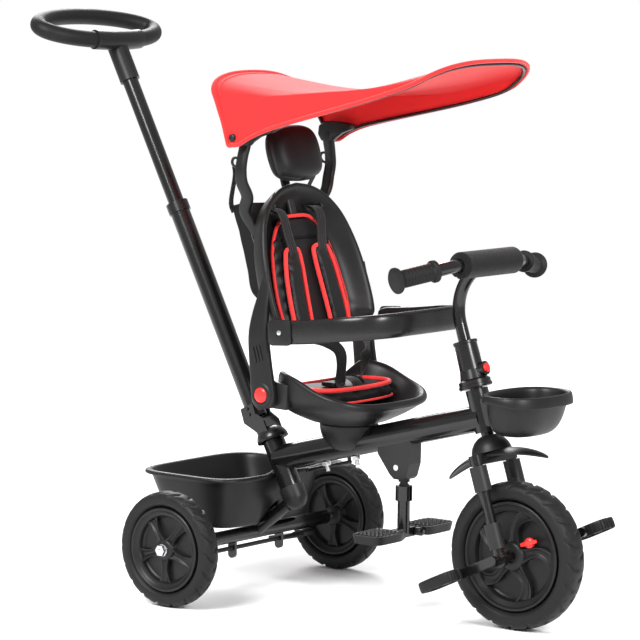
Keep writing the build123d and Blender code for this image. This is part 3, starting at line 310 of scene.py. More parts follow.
def gridSurface(across, along, place, uvSize=(0.1, 0.1)):
    bm = bmesh.new()
    layer = bm.loops.layers.uv.new("UVMap")
    bmesh.ops.create_grid(bm, x_segments=across, y_segments=along, size=0.5, calc_uvs=True)
    for face in bm.faces:
        for loop in face.loops:
            u, v = loop.vert.co.x + 0.5, loop.vert.co.y + 0.5
            loop[layer].uv = (u * uvSize[0], v * uvSize[1])
    for vert in bm.verts:
        vert.co = place(vert.co.x + 0.5, vert.co.y + 0.5)
    return bm


def sweepSurface(path, section, side, around=20, along=40, closed=False, caps=True):
    points = [Vector(p) for p in path]
    total = sum((b - a).length for a, b in zip(points, points[1:]))

    def place(u, v):
        here = splinePoint(points, v)
        ahead = splinePoint(points, min(1, v + 0.004)) - splinePoint(points, max(0, v - 0.004))
        sideways = Vector(side(v) if callable(side) else side)
        outward = ahead.cross(sideways).normalized()
        sideways = outward.cross(ahead).normalized()
        a, b = section(u, v)
        return here + sideways * a + outward * b

    bm = gridSurface(around, along, place, (0.05, total * metre))
    bmesh.ops.remove_doubles(bm, verts=bm.verts, dist=0.01)
    if caps:
        rims = [edge for edge in bm.edges if edge.is_boundary]
        bmesh.ops.holes_fill(bm, edges=rims, sides=0)
    return bm


def roundBar(width, thick, power=2.0, taper=None):
    def section(u, v):
        a, b = superRound(2 * pi * u, power)
        w, t = (width, thick) if taper is None else taper(v)
        end = min(1.0, 0.35 + 6.0 * min(v, 1 - v) ** 0.5) if taper is None else 1.0
        return a * w / 2 * end, b * t / 2 * end
    return section


def spinProfile(profile, origin, axis, steps=64, start=None):
    bm = bmesh.new()
    axis = Vector(axis).normalized()
    start = Vector(start) if start else axis.orthogonal()
    start = (start - axis * start.dot(axis)).normalized()
    ring = [bm.verts.new(Vector(origin) + start * r + axis * h) for r, h in profile]
    edges = [bm.edges.new(pair) for pair in zip(ring, ring[1:])]
    bmesh.ops.spin(bm, geom=ring + edges, cent=Vector(origin), axis=axis, angle=2 * pi, steps=steps,
                   use_merge=True, use_normal_flip=False)
    bmesh.ops.remove_doubles(bm, verts=bm.verts, dist=0.005)
    return bm


def joinInto(bm, other):
    mesh = bpy.data.meshes.new("scratch")
    other.to_mesh(mesh)
    other.free()
    bm.from_mesh(mesh)
    bpy.data.meshes.remove(mesh)
    return bm


def pipe(name, points, radius, body, material, closed=False, order=4, sides=2):
    curve = bpy.data.curves.new(name, "CURVE")
    curve.dimensions = "3D"
    curve.bevel_depth = radius * metre
    curve.bevel_resolution = sides
    curve.resolution_u = 5
    curve.use_fill_caps = True
    spline = curve.splines.new("NURBS")
    spline.points.add(len(points) - 1)
    for slotPoint, point in zip(spline.points, points):
        slotPoint.co = (*(Vector(point) * metre), 1)
    spline.use_cyclic_u = closed
    spline.order_u = order
    spline.use_endpoint_u = not closed
    holder = bpy.data.objects.new(name + "Curve", curve)
    mesh = bpy.data.meshes.new_from_object(holder)
    bpy.data.objects.remove(holder)
    mesh.name = name
    mesh.materials.clear()
    mesh.shade_smooth()
    return showMesh(name, mesh, body, material)


def addSubdivision(piece, levels=1):
    modifier = piece.modifiers.new("subdivision", "SUBSURF")
    modifier.levels = levels
    modifier.render_levels = levels
    return piece


def applyModifiers(piece):
    graph = bpy.context.evaluated_depsgraph_get()
    mesh = bpy.data.meshes.new_from_object(piece.evaluated_get(graph))
    piece.modifiers.clear()
    old = piece.data
    piece.data = mesh
    bpy.data.meshes.remove(old)
    return piece


def inflate(piece, voxel=5.0, pressure=4.0, cap=8.0, frames=20):
    remesh = piece.modifiers.new("remesh", "REMESH")
    remesh.mode = "VOXEL"
    remesh.voxel_size = voxel * metre
    applyModifiers(piece)
    before = [v.co.copy() for v in piece.data.vertices]
    cloth = piece.modifiers.new("cloth", "CLOTH")
    cloth.settings.use_pressure = True
    cloth.settings.uniform_pressure_force = pressure
    cloth.settings.effector_weights.gravity = 0
    cloth.point_cache.frame_start = 1
    cloth.point_cache.frame_end = frames
    for frameNumber in range(1, frames + 1):
        bpy.context.scene.frame_set(frameNumber)
    applyModifiers(piece)
    bpy.context.scene.frame_set(1)
    for vertex, old in zip(piece.data.vertices, before):
        move = vertex.co - old
        if move.length > cap * metre:
            vertex.co = old + move.normalized() * cap * metre
    piece.data.shade_smooth()
    return addSubdivision(piece)


def dress(material, *names):
    for name in names:
        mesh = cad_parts[name].data
        mesh.materials.clear()
        mesh.materials.append(material)


def cubeForm(cuts, place):
    bm = bmesh.new()
    bmesh.ops.create_cube(bm, size=2)
    bmesh.ops.subdivide_edges(bm, edges=bm.edges, cuts=cuts, use_grid_fill=True)
    for vert in bm.verts:
        vert.co = place(*vert.co)
    return bm


def plateSolid(outline, low, high, soften=1.2, segments=2):
    bm = bmesh.new()
    face = bm.faces.new([bm.verts.new((x, low, z)) for x, z in outline])
    walls = bmesh.ops.extrude_face_region(bm, geom=[face])
    raised = [v for v in walls["geom"] if isinstance(v, bmesh.types.BMVert)]
    bmesh.ops.translate(bm, verts=raised, vec=(0, high - low, 0))
    bmesh.ops.recalc_face_normals(bm, faces=bm.faces)
    bmesh.ops.bevel(bm, geom=bm.edges, offset=soften, offset_type="OFFSET", segments=segments, affect="EDGES",
                    profile=0.5, material=-1, clamp_overlap=True)
    return bm


def roundOutline(cx, cz, width, height, corner, steps=5, turn=0.0):
    spots = []
    for qx, qz, start in ((1, 1, 0), (-1, 1, 90), (-1, -1, 180), (1, -1, 270)):
        for i in range(steps + 1):
            a = radians(start + 90 * i / steps)
            x = qx * (width / 2 - corner) + corner * cos(a)
            z = qz * (height / 2 - corner) + corner * sin(a)
            spots.append((cx + x * cos(turn) - z * sin(turn), cz + x * sin(turn) + z * cos(turn)))
    return spots


# The three wheels share a tyre and a rim maker. A rim's profile is (radius, half its thickness there).
wheelSets = [
    dict(name="front", body="front_wheel", at=frontAxle, radius=127, seat=94, width=52, face=20, opening=76,
         hub=25, bore=10.2, web=2.5, spokeAngle=80, swirl=0.20, units=20, nut=False),
    dict(name="left_rear", body="rear_wheel_left", at=(0, 241, 102), radius=102, seat=74, width=38, face=17,
         opening=58, hub=19, bore=6.3, web=2.5, spokeAngle=-92, swirl=0.0, units=18, nut=True),
    dict(name="right_rear", body="rear_wheel_right", at=(0, -241, 102), radius=102, seat=74, width=38,
         face=17,
         opening=58, hub=19, bore=6.3, web=2.5, spokeAngle=-92, swirl=0.0, units=18, nut=True),
]
tread = dict(depth=3.6, width=0.085, sweep=0.55, dotDepth=1.6, beadHeight=0.9)


def treadDepth(turn, across, units):
    cell = (turn * units) % 1.0
    side = 1 if across > 0 else -1
    q = abs(across)
    stagger = 0.0 if side > 0 else 0.5
    middle = (0.25 + stagger + tread["sweep"] * (q - 0.15) ** 1.4 if q > 0.15 else 0.25 + stagger) % 1.0
    away = abs(cell - middle)
    away = min(away, 1 - away)
    length = smoothStep(0.12, 0.24, q) * (1 - smoothStep(0.86, 0.97, q))
    groove = tread["depth"] * length * exp(-(away / tread["width"]) ** 4)
    dotMiddle = (middle + 0.42) % 1.0
    awayDot = abs(cell - dotMiddle)
    awayDot = min(awayDot, 1 - awayDot)
    dot = tread["dotDepth"] * exp(-((awayDot / 0.10) ** 2 + ((q - 0.62) / 0.09) ** 2) ** 2)
    return groove + dot


def makeTyre(w):
    centre = Vector(w["at"])
    middle, reach = (w["radius"] + w["seat"]) / 2, (w["radius"] - w["seat"]) / 2

    def place(u, v):
        a, b = superRound(2 * pi * v, 2.5)
        radial, across = middle + a * reach, b * w["width"] / 2
        crown = smoothStep(0.0, 0.5, a)
        if a > -0.2:
            radial -= treadDepth(u, b, w["units"]) * crown
        bead = tread["beadHeight"] * exp(-((radial - w["seat"] - 8) / 1.3) ** 2)
        across += bead * (1 if across > 0 else -1)
        angle = 2 * pi * u
        return centre + Vector((radial * cos(angle), across, radial * sin(angle)))

    bm = gridSurface(w["units"] * 22, 44, place)
    return finishPiece(w["name"] + "Tyre", bm, w["body"], tyreRubber,
                       replaces=[w["name"] + "_tyre"], sharp=60)


def makeRim(w):
    centre, seat, opening, face, hub, web = (Vector(w["at"]), w["seat"], w["opening"], w["face"], w["hub"],
                                             w["web"])
    half = [
        (w["bore"], 0), (w["bore"], face - 1), (w["bore"] + 1, face), (hub - 4, face),
        (hub - 1.5, face - 1.5),
        (hub, face - 4), (hub + 1, web + 5), (hub + 3.5, web + 1), (hub + 6, web), (opening - 3, web),
        (opening, web + 2), (opening + 1, face * 0.55), (opening + 2.5, face * 0.68),
        (opening + 6, face * 0.76),
        (seat - 7, face * 0.86), (seat - 5.5, face), (seat - 4, face + 1.2), (seat - 1.5, face + 1.2),
        (seat, face),
        (seat, 0),
    ]
    profile = [(r, -h) for r, h in half] + [(r, h) for r, h in reversed(half)][1:-1]
    bm = spinProfile(profile + profile[:1], centre, (0, 1, 0), 96)

    def spoke(angle):
        def place(x, y, z):
            t = (y + 1) / 2
            r = hub - 3 + (opening + 4 - hub) * t
            width = 5.2 + 7.5 * max(0, t - 0.35) ** 1.6 * 2.2 + 4.5 * (1 - t) ** 3
            width *= opening / 62
            ridge = 0.72 + 0.28 * smoothStep(0.25, 0.85, abs(x))
            height = (face - 2.5 - 5.5 * t) * ridge
            bend = angle + w["swirl"] * sin(pi * t) - w["swirl"] * 0.9 * t
            sideways = x * width
            return centre + Vector((
                r * cos(bend) - sideways * sin(bend), z * height, r * sin(bend) + sideways * cos(bend)))
        return cubeForm(9, place)

    for k in range(5):
        joinInto(bm, spoke(radians(w["spokeAngle"] + 72 * k)))
    return finishPiece(w["name"] + "Rim", bm, w["body"], satinPlastic,
                       replaces=[w["name"] + "_rim"], sharp=32, merge=0.004)


for wheel in wheelSets:
    makeTyre(wheel)
    makeRim(wheel)
    if wheel["nut"]:
        outward = 1 if wheel["at"][1] > 0 else -1
        cap = [(0, 9.5), (3, 9.2), (5.5, 7.8), (7.2, 5.2), (7.6, 2), (10.5, 1.6), (10.8, 0), (0, 0)]
        domeAt = Vector(wheel["at"]) + Vector((0, outward * 18, 0))
        bm = spinProfile(cap, domeAt, (0, outward, 0), 32)
        finishPiece(wheel["name"] + "Nut", bm, "frame", zinc)
print("stage: wheels")

# The clutch knob with its two wings, then a pedal at each end of the leaning crank.
clutch = dict(reach=46, angle=radians(37), y=-18.5)
clutchAt = Vector((frontAxle[0] + clutch["reach"] * cos(clutch["angle"]), clutch["y"],
                   frontAxle[2] + clutch["reach"] * sin(clutch["angle"])))
bm = spinProfile([(0, 4.5), (5, 4.2), (8.4, 2.6), (9.2, 0), (9.2, -6), (0, -6)], clutchAt, (0, -1, 0), 32)
wing = dict(length=17, width=4.2, height=5.0)


def clutchWing(x, y, z):
    along, across = x * wing["length"], y * wing["width"] * (1 - 0.35 * abs(x))
    turn = radians(18)
    lift = (z + 1) / 2 * wing["height"] * (1 - 0.55 * x * x)
    return clutchAt + Vector((along * cos(turn) - across * sin(turn), -lift - 1.0,
                              along * sin(turn) + across * cos(turn)))


joinInto(bm, cubeForm(8, clutchWing))
addSubdivision(finishPiece("clutchWings", bm, "clutch", redPlastic, replaces=["clutch_knob"]))

pedalSize = dict(length=38, width=26, height=9.5, wall=6)
crank = dict(lean=radians(25.5), reach=95, pedalY=102)
for name, side in (("left", 1), ("right", -1)):
    at = Vector((frontAxle[0] + side * crank["reach"] * cos(crank["lean"]), side * crank["pedalY"],
                 frontAxle[2] + side * crank["reach"] * sin(crank["lean"])))
    turn = Matrix.Translation(at) @ Matrix.Rotation(-crank["lean"], 4, "Y")

    def pedalLoop(u, v):
        a, b = superRound(2 * pi * u, 3.2)
        teeth = 1 + 0.035 * (1 if int(u * 48) % 2 else -1)
        x, y = a * pedalSize["length"] * teeth, b * (pedalSize["width"] - 1.5 * abs(a))
        c, d = superRound(2 * pi * v, 3.0)
        grow = 1 + c * pedalSize["wall"] / 2 / sqrt(x * x + y * y) - pedalSize["wall"] / 2 / sqrt(x * x + y * y)
        return turn @ Vector((x * grow, y * grow, d * pedalSize["height"]))

    bm = gridSurface(192, 16, pedalLoop)

    def pedalCore(x, y, z):
        return turn @ Vector((x * 9, y * (pedalSize["width"] - 3), z * 7.5 * (1 - 0.25 * x * x)))

    joinInto(bm, cubeForm(5, pedalCore))
    for bar in (-22, 22):
        def pedalBar(x, y, z):
            return turn @ Vector((bar + x * 2.4, y * (pedalSize["width"] - 4), z * 6.5))
        joinInto(bm, cubeForm(2, pedalBar))

    def pedalSpine(x, y, z):
        return turn @ Vector((x * (pedalSize["length"] - 3), y * 2.6, z * 5.5))
    joinInto(bm, cubeForm(3, pedalSpine))
    finishPiece(name + "Pedal", bm, "pedal_" + name, grainPlastic,
                replaces=[name + "_pedal"], sharp=30, merge=0.003)
print("stage: pedals")

# The front fender and the bell of the fork's cover, in one moulding.
fender = dict(radius=184, front=71, rear=141, half=36, droop=9, thick=1.8)


def fenderPlace(x, y, z):
    t = (x + 1) / 2
    angle = radians(fender["front"] + (fender["rear"] - fender["front"]) * t)
    half = fender["half"] * max(0.0, sin(pi * t)) ** 0.75 + 0.4
    r = fender["radius"] - fender["droop"] * (y * y) * sin(pi * t) + z * fender["thick"] * 0.8
    return Vector((frontAxle[0] + r * cos(angle), y * half, frontAxle[2] + r * sin(angle)))


bm = cubeForm(30, fenderPlace)
bell = [(11.4, 210), (14, 209.5), (20, 206.5), (27, 200.5), (32, 193), (34.5, 186), (35.5, 181.5),
        (33, 180.8),
        (30, 184), (24, 192), (16, 199), (11.4, 201), (11.4, 210)]
joinInto(bm, spinProfile(bell, steerFrame.translation, steerFrame.to_3x3() @ Vector((0, 0, 1)), 56))
finishPiece("frontFender", bm, "steering", satinPlastic, replaces=["fender"], sharp=50,
            merge=0.01)
bm = bmesh.new()
for low, high, reach in ((294, 299.5, 29.4), (302.5, 306, 27.2), (370, 375.5, 21.2)):
    ring = [(11.2, low), (reach - 0.8, low), (reach, low + 0.8), (reach, high - 0.8), (reach - 0.8, high),
            (11.2, high), (11.2, low)]
    joinInto(bm, spinProfile(ring, steerFrame.translation, steerFrame.to_3x3() @ Vector((0, 0, 1)), 48))
finishPiece("collarRings", bm, "steering", glossPlastic)
print("stage: fender")

# The foam roll at the middle of the handlebar, and a grip at each end.
barCentre = steerFrame @ Vector((83, 0, 493))
foam = dict(half=82, radius=23, slit=2.4)


def foamPlace(u, v):
    angle = 2 * pi * u
    y = (v * 2 - 1) * foam["half"]
    end = 1 - max(0.0, abs(v * 2 - 1) - 0.94) / 0.06
    r = 12 + (foam["radius"] - 12) * sqrt(max(0.0, 1 - (1 - end) ** 2))
    slot = exp(-((degrees(angle) - 250) / 5) ** 2) * foam["slit"] * smoothStep(0.5, 0.9, abs(v * 2 - 1))
    r -= slot
    return barCentre + Vector((r * cos(angle), y, r * sin(angle)))


finishPiece("foamRoll", gridSurface(72, 60, foamPlace), "steering", foamSkin,
            replaces=["foam_sleeve"],
            sharp=60)
gripProfile = [(11, 76), (18, 76), (19, 75), (19, 70), (17.5, 68.5), (15.6, 67.5)]
for i in range(9):
    top = 66 - i * 7
    gripProfile += [(15.2, top), (15.2, top - 4.6), (14.4, top - 5.3), (14.4, top - 6.6)]
gripProfile += [(15, 2), (18, 0.5), (21.5, -1), (22.5, -3), (22.3, -5.5), (20, -7.2), (10, -8.0), (0, -8.2)]
for side, label in bothSides:
    barEnd = barCentre + Vector((-38, side * 201, -19))
    inward = (barCentre + Vector((0, side * 94, 0)) - barEnd).normalized()
    bm = spinProfile(gripProfile, barEnd, inward, 48)
    finishPiece("grip" + label, bm, "steering", gripRubber, replaces=["grips"], sharp=40)
print("stage: grips")

# A basket's ring is (half length, half width, height, shift along X), from below up over the rim to the floor.


def makeBasket(name, settings, body, material, replaces, notch=None):
    rings = settings["rings"]
    power = settings["power"]

    def place(u, v):
        i, f = tableStep(rings, v)
        halfX, halfY, z, shift = [a + (b - a) * f for a, b in zip(rings[i], rings[i + 1])]
        a, b = superRound(2 * pi * u, power)
        x, y = settings["x"] + shift + a * halfX, b * halfY
        onLip = settings["lipLow"] <= i <= settings["lipHigh"]
        drop = settings["skirt"] * smoothStep(-0.2, 0.9, a) if onLip else 0
        if notch:
            x = notch(x, y, z)
        return Vector((x, y, z - drop))

    bm = gridSurface(settings["around"], len(rings) - 1, place, (0.4, 0.1))
    return addSubdivision(finishPiece(name, bm, body, material, replaces=replaces, sharp=60,
                                      merge=0.05))


def rearNotch(x, y, z):
    postLimit = 71.3 - (z - 208) * 0.5206 - 29
    strutLimit = 1.279 * (z - 102) - 24
    for limit, half in ((postLimit, 23), (strutLimit, 14)):
        if x > limit:
            keep = smoothStep(half + 3, half + 20, abs(y))
            x = limit + (x - limit) * keep
    return x


rearBasket = dict(x=-43, power=4.6, around=120, skirt=0, lipLow=99, lipHigh=0, rings=[
    (0, 0, 122, 0), (40, 70, 122, 0), (70, 117, 122, 0), (77.5, 125, 123.5, 0), (81, 128.5, 128, 0),
    (89.3, 134.1, 152.4, -0.3), (100.2, 140.8, 185.4, -4.2), (106.6, 144.3, 205.5, -6.6),
    (108, 145.5, 210, -7), (112, 151, 210, -7),
    (116, 154.5, 209.5, -7), (117, 155.5, 212, -7), (116.5, 155, 215.5, -7), (113.5, 152, 217.5, -7),
    (108, 146.5, 217.5, -7), (105.2, 143, 215.5, -7), (104, 141.5, 211, -7), (97.2, 137.8, 185.4, -4.2),
    (86.3, 131.1, 152.4, -0.3), (78, 125.5, 130, 0), (74, 121.5, 126.5, 0), (66, 113, 125.2, 0),
    (38, 68, 125, 0),
    (0, 0, 125, 0)])
makeBasket("rearBasketTub", rearBasket, "frame", satinPlastic, ["rear_basket"], rearNotch)
frontBasket = dict(x=585, power=2.5, around=96, skirt=8, lipLow=9, lipHigh=11, rings=[
    (0, 0, 334, -8), (18, 32, 334, -8), (30, 48, 335.5, -7), (39, 60, 340, -6), (46, 71, 351.3, -4),
    (50, 78, 368.9, -2), (52.5, 82, 386.5, -1), (53.5, 84, 393, 0), (55, 86, 394.5, 0),
    (59.5, 90.5, 393.5, 0),
    (61.6, 92.6, 394.5, 0), (62, 93, 397, 0), (61.4, 92.4, 403, 0), (59.5, 90.5, 406.8, 0),
    (56, 87, 407.6, 0), (52.6, 83.4, 406, 0), (51, 81, 401, 0), (49.5, 79, 386.5, -1), (46.5, 74, 366.4, -3),
    (41, 65.5, 348.8, -5), (33, 53, 340.5, -6), (22, 37, 337.6, -8), (12, 20, 337, -8), (0, 0, 337, -8)])
makeBasket("frontBasketTub", frontBasket, "frame", satinPlastic, ["front_basket"])
print("stage: baskets")

# The seat bowl's rings are like a basket's. A height below 20 is measured from the rim.
panRings = [
    (0, 0, 322, 208), (40, 42, 322, 208), (56, 58, 322.5, 208), (62, 66, 326, 208), (84, 98, 338, 211),
    (98, 126, 352, 214), (102.5, 136.5, 366, 215.5), (104, 139.5, -9, 216), (103.5, 139.5, -2.5, 216),
    (101, 137, 0.8, 216), (96.5, 132.5, 1.0, 216), (92, 128, -2.5, 216), (88, 123, -10, 215),
    (78, 110, 350, 213),
    (60, 84, 343, 210), (30, 40, 340, 208), (0, 0, 340, 208)]


def rimHeight(x):
    return blendValue([(110, 419), (150, 417), (190, 408), (235, 390), (280, 377), (318, 366)],
                      max(0, min(1, (x - 110) / 208)))[1]


def panPlace(u, v):
    i, f = tableStep(panRings, v)
    rows = []
    for halfX, halfY, z, mid in (panRings[i], panRings[i + 1]):
        a, b = superRound(2 * pi * u, 2.9)
        x, y = mid + a * halfX, b * halfY
        rim = rimHeight(x)
        if z < 20:
            z = rim + z
        else:
            z = min(z, rim - 12)
        rows.append(Vector((x, y, z)))
    spot = rows[0].lerp(rows[1], f)
    behind = smoothStep(150, 118, spot.x)
    spot.z -= behind * max(0, spot.z - 372) * 0.9
    return spot


bm = gridSurface(96, len(panRings) - 1, panPlace)
addSubdivision(finishPiece("seatBowl", bm, "seat", satinPlastic, replaces=["seat_pan"],
                           sharp=70,
                           merge=0.05), 2)
for side, label in bothSides:
    ear = roundOutline(reclineAxis[0], reclineAxis[2], 50, 50, 24.5, 8)
    bm = plateSolid(ear, *sorted((side * 128.5, side * 140)), 1.5)
    foot = [(140, 353), (176, 352), (178, 396), (150, 401)]
    joinInto(bm, plateSolid(foot, *sorted((side * 127, side * 139)), 3))
    finishPiece("seatEar" + label, bm, "seat", satinPlastic)

cushion = dict(x=(128, 236), half=104, z=(353, 384), corner=0.55)


def seatPadPlace(x, y, z):
    length = (cushion["x"][1] - cushion["x"][0]) / 2
    mid = (cushion["x"][1] + cushion["x"][0]) / 2
    squeeze = 1 - 0.12 * abs(y) ** 3
    px = mid + x * length * squeeze
    py = y * cushion["half"] * (1 - 0.10 * max(0, -x) ** 2)
    pz = cushion["z"][0] + (z + 1) / 2 * (cushion["z"][1] - cushion["z"][0]) * (1 - 0.25 * max(0, x) ** 4)
    pz -= 3 * (1 - y * y) * (z + 1) / 2
    return Vector((px, py, pz))


bm = cubeForm(16, seatPadPlace)
bmesh.ops.bevel(bm, geom=[e for e in bm.edges if e.calc_face_angle(0) > 0.6], offset=5, offset_type="OFFSET",
                segments=3, affect="EDGES", profile=0.5, material=-1)
seatPad = inflate(finishPiece("seatCushion", bm, "seat", leather, replaces=["seat_pad"],
                              sharp=180),
                  voxel=5, cap=6)


def ringOf(points):
    return points + [Vector((p.x, -p.y, p.z)) for p in reversed(points[1:-1])]


seatEdge = [Vector((235, 0, 384)), Vector((235, 60, 385)), Vector((230, 92, 386)), Vector((214, 106, 387)),
            Vector((180, 106, 387)), Vector((148, 100, 386)), Vector((131, 84, 385)), Vector((128, 40, 384)),
            Vector((128, 0, 384))]
pipe("seatPipingTop", ringOf(seatEdge), 4.2, "seat", pipingCloth, closed=True)
seatFoot = [p + Vector((5 if p.x > 180 else -2, 2 if p.y > 60 else 0, -23)) for p in seatEdge]
pipe("seatPipingLow", ringOf(seatFoot), 2.2, "seat", pipingCloth, closed=True)
print("stage: seat")

# The shell: half of its outline, then rings of (inset, depth) from the back around the rim to the front.
shellHalf = [Vector(p) for p in (
    (0, 84, 0), (60, 84, 0), (108, 86, 0), (132, 98, 0), (143.5, 126, 0), (144, 178, 0), (138, 228, 0),
    (126, 270, 0), (109, 304, 0), (82, 332, 0), (45, 352, 0), (0, 360, 0))]
shellRings = [
    (134, 22), (70, 22), (26, 22.5), (17, 24), (12, 27), (8, 34), (3, 46), (0.4, 54), (0, 58), (1.4, 61),
    (4, 62.2), (8, 61.4), (12, 58), (18, 50), (25, 41.5), (33, 34), (42, 30), (60, 28), (134, 27.5)]


def shellPlace(u, v):
    mirrored = u > 0.5
    t = 2 * (1 - u) if mirrored else 2 * u
    edge = splinePoint(shellHalf, t)
    i, f = tableStep(shellRings, v)
    inset, depth = [a + (b - a) * f for a, b in zip(shellRings[i], shellRings[i + 1])]
    w = edge.x * (1 - inset / 134)
    c = 222
    h = c + (edge.y - c) * (1 - inset / 138)
    floorBand = smoothStep(112, 90, edge.y)
    depth -= floorBand * max(0, depth - 30) * 0.75
    return inBack(-w if mirrored else w, h, depth)


bm = gridSurface(128, len(shellRings) - 1, shellPlace)
addSubdivision(finishPiece("backShell", bm, "backrest", satinPlastic,
                           replaces=["backrest_shell"], sharp=70, merge=0.05), 1)

armTable = [(-24, 0, 30, 14), (-12, 0, 47, 15), (2, 1, 51, 15.5), (40, 7, 47, 15), (84, 15, 44, 14.5),
            (112, 22, 42, 13), (140, 32, 36, 11), (172, 46, 26, 8), (205, 58, 12, 4)]


def makeArm(side, label):
    def centre(t):
        row = splinePoint([Vector((u, v, 0)) for u, v, wide, thick in armTable], t)
        sizes = splinePoint([Vector((wide, thick, 0)) for u, v, wide, thick in armTable], t)
        return row.x, row.y, sizes.x, sizes.y

    def place(u, v):
        height, depth, wide, thick = centre(v)
        a, b = superRound(2 * pi * u, 4.0)
        lean = smoothStep(0.55, 1.0, v)
        w = 149.6 - lean * 9 - max(0.0, height - 150) * 0.05
        return inBack(side * (w + b * thick / 2), height, depth + a * wide / 2)

    bm = gridSurface(40, 60, place)
    bmesh.ops.holes_fill(bm, edges=[e for e in bm.edges if e.is_boundary], sides=0)
    outer = side * 157.2
    for shift in (-7, 0, 7):
        def ribPlace(x, y, z):
            a, b = x * 1.7 * (1 - 0.5 * y ** 4), y * 14
            return inBack(outer + side * (z + 1) * 0.8, 71 + b, 13.5 + shift + a)
        joinInto(bm, cubeForm(3, ribPlace))
    ringAt = inBack(outer, 0, 0)
    ring = [(14.4, -1), (14.4, 1.6), (16.2, 2.2), (19.5, 1.4), (21.5, 0), (21.5, -1), (14.4, -1)]
    joinInto(bm, spinProfile(ring, ringAt, (0, side, 0), 40))
    return finishPiece("sideArm" + label, bm, "backrest", satinPlastic, sharp=45)


for side, label in bothSides:
    makeArm(side, label)
    button = [(0, 2.4), (8, 2.2), (12, 1.2), (13.2, 0), (13.4, -2), (0, -2)]
    bm = spinProfile(button, Vector((reclineAxis[0], side * 159, reclineAxis[2])), (0, side, 0), 40)
    finishPiece("reclineCap" + label, bm, "recline_button_" + label.lower(), redPlastic,
                replaces=[label.lower() + "_recline_button"])
    hinge = roundOutline(railAxis[0], railAxis[2], 50, 45, 9, 5, radians(railLean))
    bm = plateSolid(hinge, *sorted((side * 159.2, side * 164)), 1.2)
    finishPiece("railPlate" + label, bm, "rail", satinPlastic)
    screw = [(0, 1.4), (2.4, 1.4), (4.2, 0.9), (4.6, 0), (4.6, -1.2), (0, -1.2)]
    bm = spinProfile(screw, Vector((railAxis[0], side * 164, railAxis[2])), (0, side, 0), 24)
    finishPiece("railScrew" + label, bm, "rail", zinc)

# The guard rail is a band along a path in the rail's own frame.
railHalf = [(-18, 153, 0), (20, 153, 0), (58, 153, 1), (92, 152.5, 3), (122, 150, 5), (146, 143, 6),
            (168, 131, 7), (185, 113, 8), (196, 90, 8.5), (199, 66, 9), (200, 33, 9), (200, 0, 9)]
railPath = [Vector((x, -y, z)) for x, y, z in railHalf] + [Vector((x, y, z)) for x, y, z in railHalf[-2::-1]]
railPath = [railFrame @ p for p in railPath]
railSizes = dict(height=42, thick=13.6)


def railSection(u, v):
    a, b = superRound(2 * pi * u, 3.6)
    belly = 1.6 * (1 - a * a) if b > 0 else -2.0 * (1 - a * a)
    end = sqrt(max(0.02, min(1.0, min(v, 1 - v) * 40)))
    return a * railSizes["height"] / 2 * (0.7 + 0.3 * end), b * railSizes["thick"] / 2 + belly * 0.7


bm = sweepSurface(railPath, railSection, railFrame.to_3x3() @ Vector((0, 0, 1)), 40, 150)
finishPiece("guardBand", bm, "rail", glossPlastic, replaces=["guard_rail"], sharp=60)
print("stage: shell and rail")

# The back pad's table is (height, half width) up the backrest.
padTable = [(82, 58), (90, 78), (110, 92), (150, 98), (190, 95), (225, 89), (258, 79), (285, 60), (302, 36)]
padLook = dict(back=28, front=43, puff=4.2, pitch=23, channel=74, seam=56)


def padHalf(u):
    for (u0, w0), (u1, w1) in zip(padTable, padTable[1:]):
        if u <= u1:
            return w0 + (w1 - w0) * (u - u0) / (u1 - u0)
    return padTable[-1][1]


def backPadPlace(x, y, z):
    u = 84 + (y + 1) / 2 * 216
    half = padHalf(u)
    w = x * half
    roll = max(0.0, 1 - abs(x) ** 9) ** 0.5 * max(0.0, 1 - abs(y) ** 12) ** 0.5
    front = padLook["back"] + 7 + (padLook["front"] - padLook["back"] - 7) * roll
    side = abs(w)
    if 66 < u < 262 and half > 70:
        channel = exp(-((side - padLook["channel"]) / 12.5) ** 4)
        puff = abs(sin(pi * (u - 86) / padLook["pitch"])) ** 0.55
        front += padLook["puff"] * channel * (puff - 0.25)
    front -= 2.6 * exp(-((side - padLook["seam"]) / 2.2) ** 2) * (1 if u < 262 else 0)
    front -= 2.2 * exp(-((u - 263) / 2.4) ** 2) * smoothStep(62, 52, side)
    front += 1.6 * (1 - min(1, (side / 52) ** 2)) * smoothStep(90, 130, u)
    return inBack(w, u, padLook["back"] + (front - padLook["back"]) * (z + 1) / 2)


bm = cubeForm(110, backPadPlace)
backCushion = finishPiece("backCushion", bm, "backrest", leather, replaces=["back_pad"],
                          sharp=80)
padEdge = [inBack(w, u, v) for w, u, v in (
    (0, 303, 43), (20, 303, 43), (36, 301, 42), (52, 292, 40), (72, 268, 38), (86, 235, 37), (94, 190, 36),
    (98, 150, 36), (95, 118, 36), (84, 92, 36), (60, 84, 37), (0, 83, 38))]
pipe("backPiping", ringOf(padEdge), 3.3, "backrest", pipingCloth, closed=True)
headSeam = [inBack(w, 263, 44.6) for w in (-52, -30, 0, 30, 52)]
pipe("headSeam", headSeam, 1.0, "backrest", leather)

headrest = dict(at=(76, 0, 789), half=(66, 51), front=27, back=20)


def headrestPlace(x, y, z):
    swell = (max(0.0, 1 - abs(x) ** 4.2) * max(0.0, 1 - abs(y) ** 4.2)) ** 0.42
    bulge = 1 - 0.20 * x * x * y * y
    v = swell * (headrest["front"] if z > 0 else headrest["back"]) * z
    w = x * headrest["half"][0] * bulge * (1 - 0.05 * max(0.0, y) ** 2)
    u = y * headrest["half"][1] * bulge * (1 - 0.04 * x * x)
    v += 1.6 * (1 - x * x) * (1 - y * y) * smoothStep(0.4, 1.0, z) - 5 * abs(x) ** 3 * (1 if z > 0 else 0)
    return leanFrame(headrest["at"], backLean) @ Vector((v, w, u))


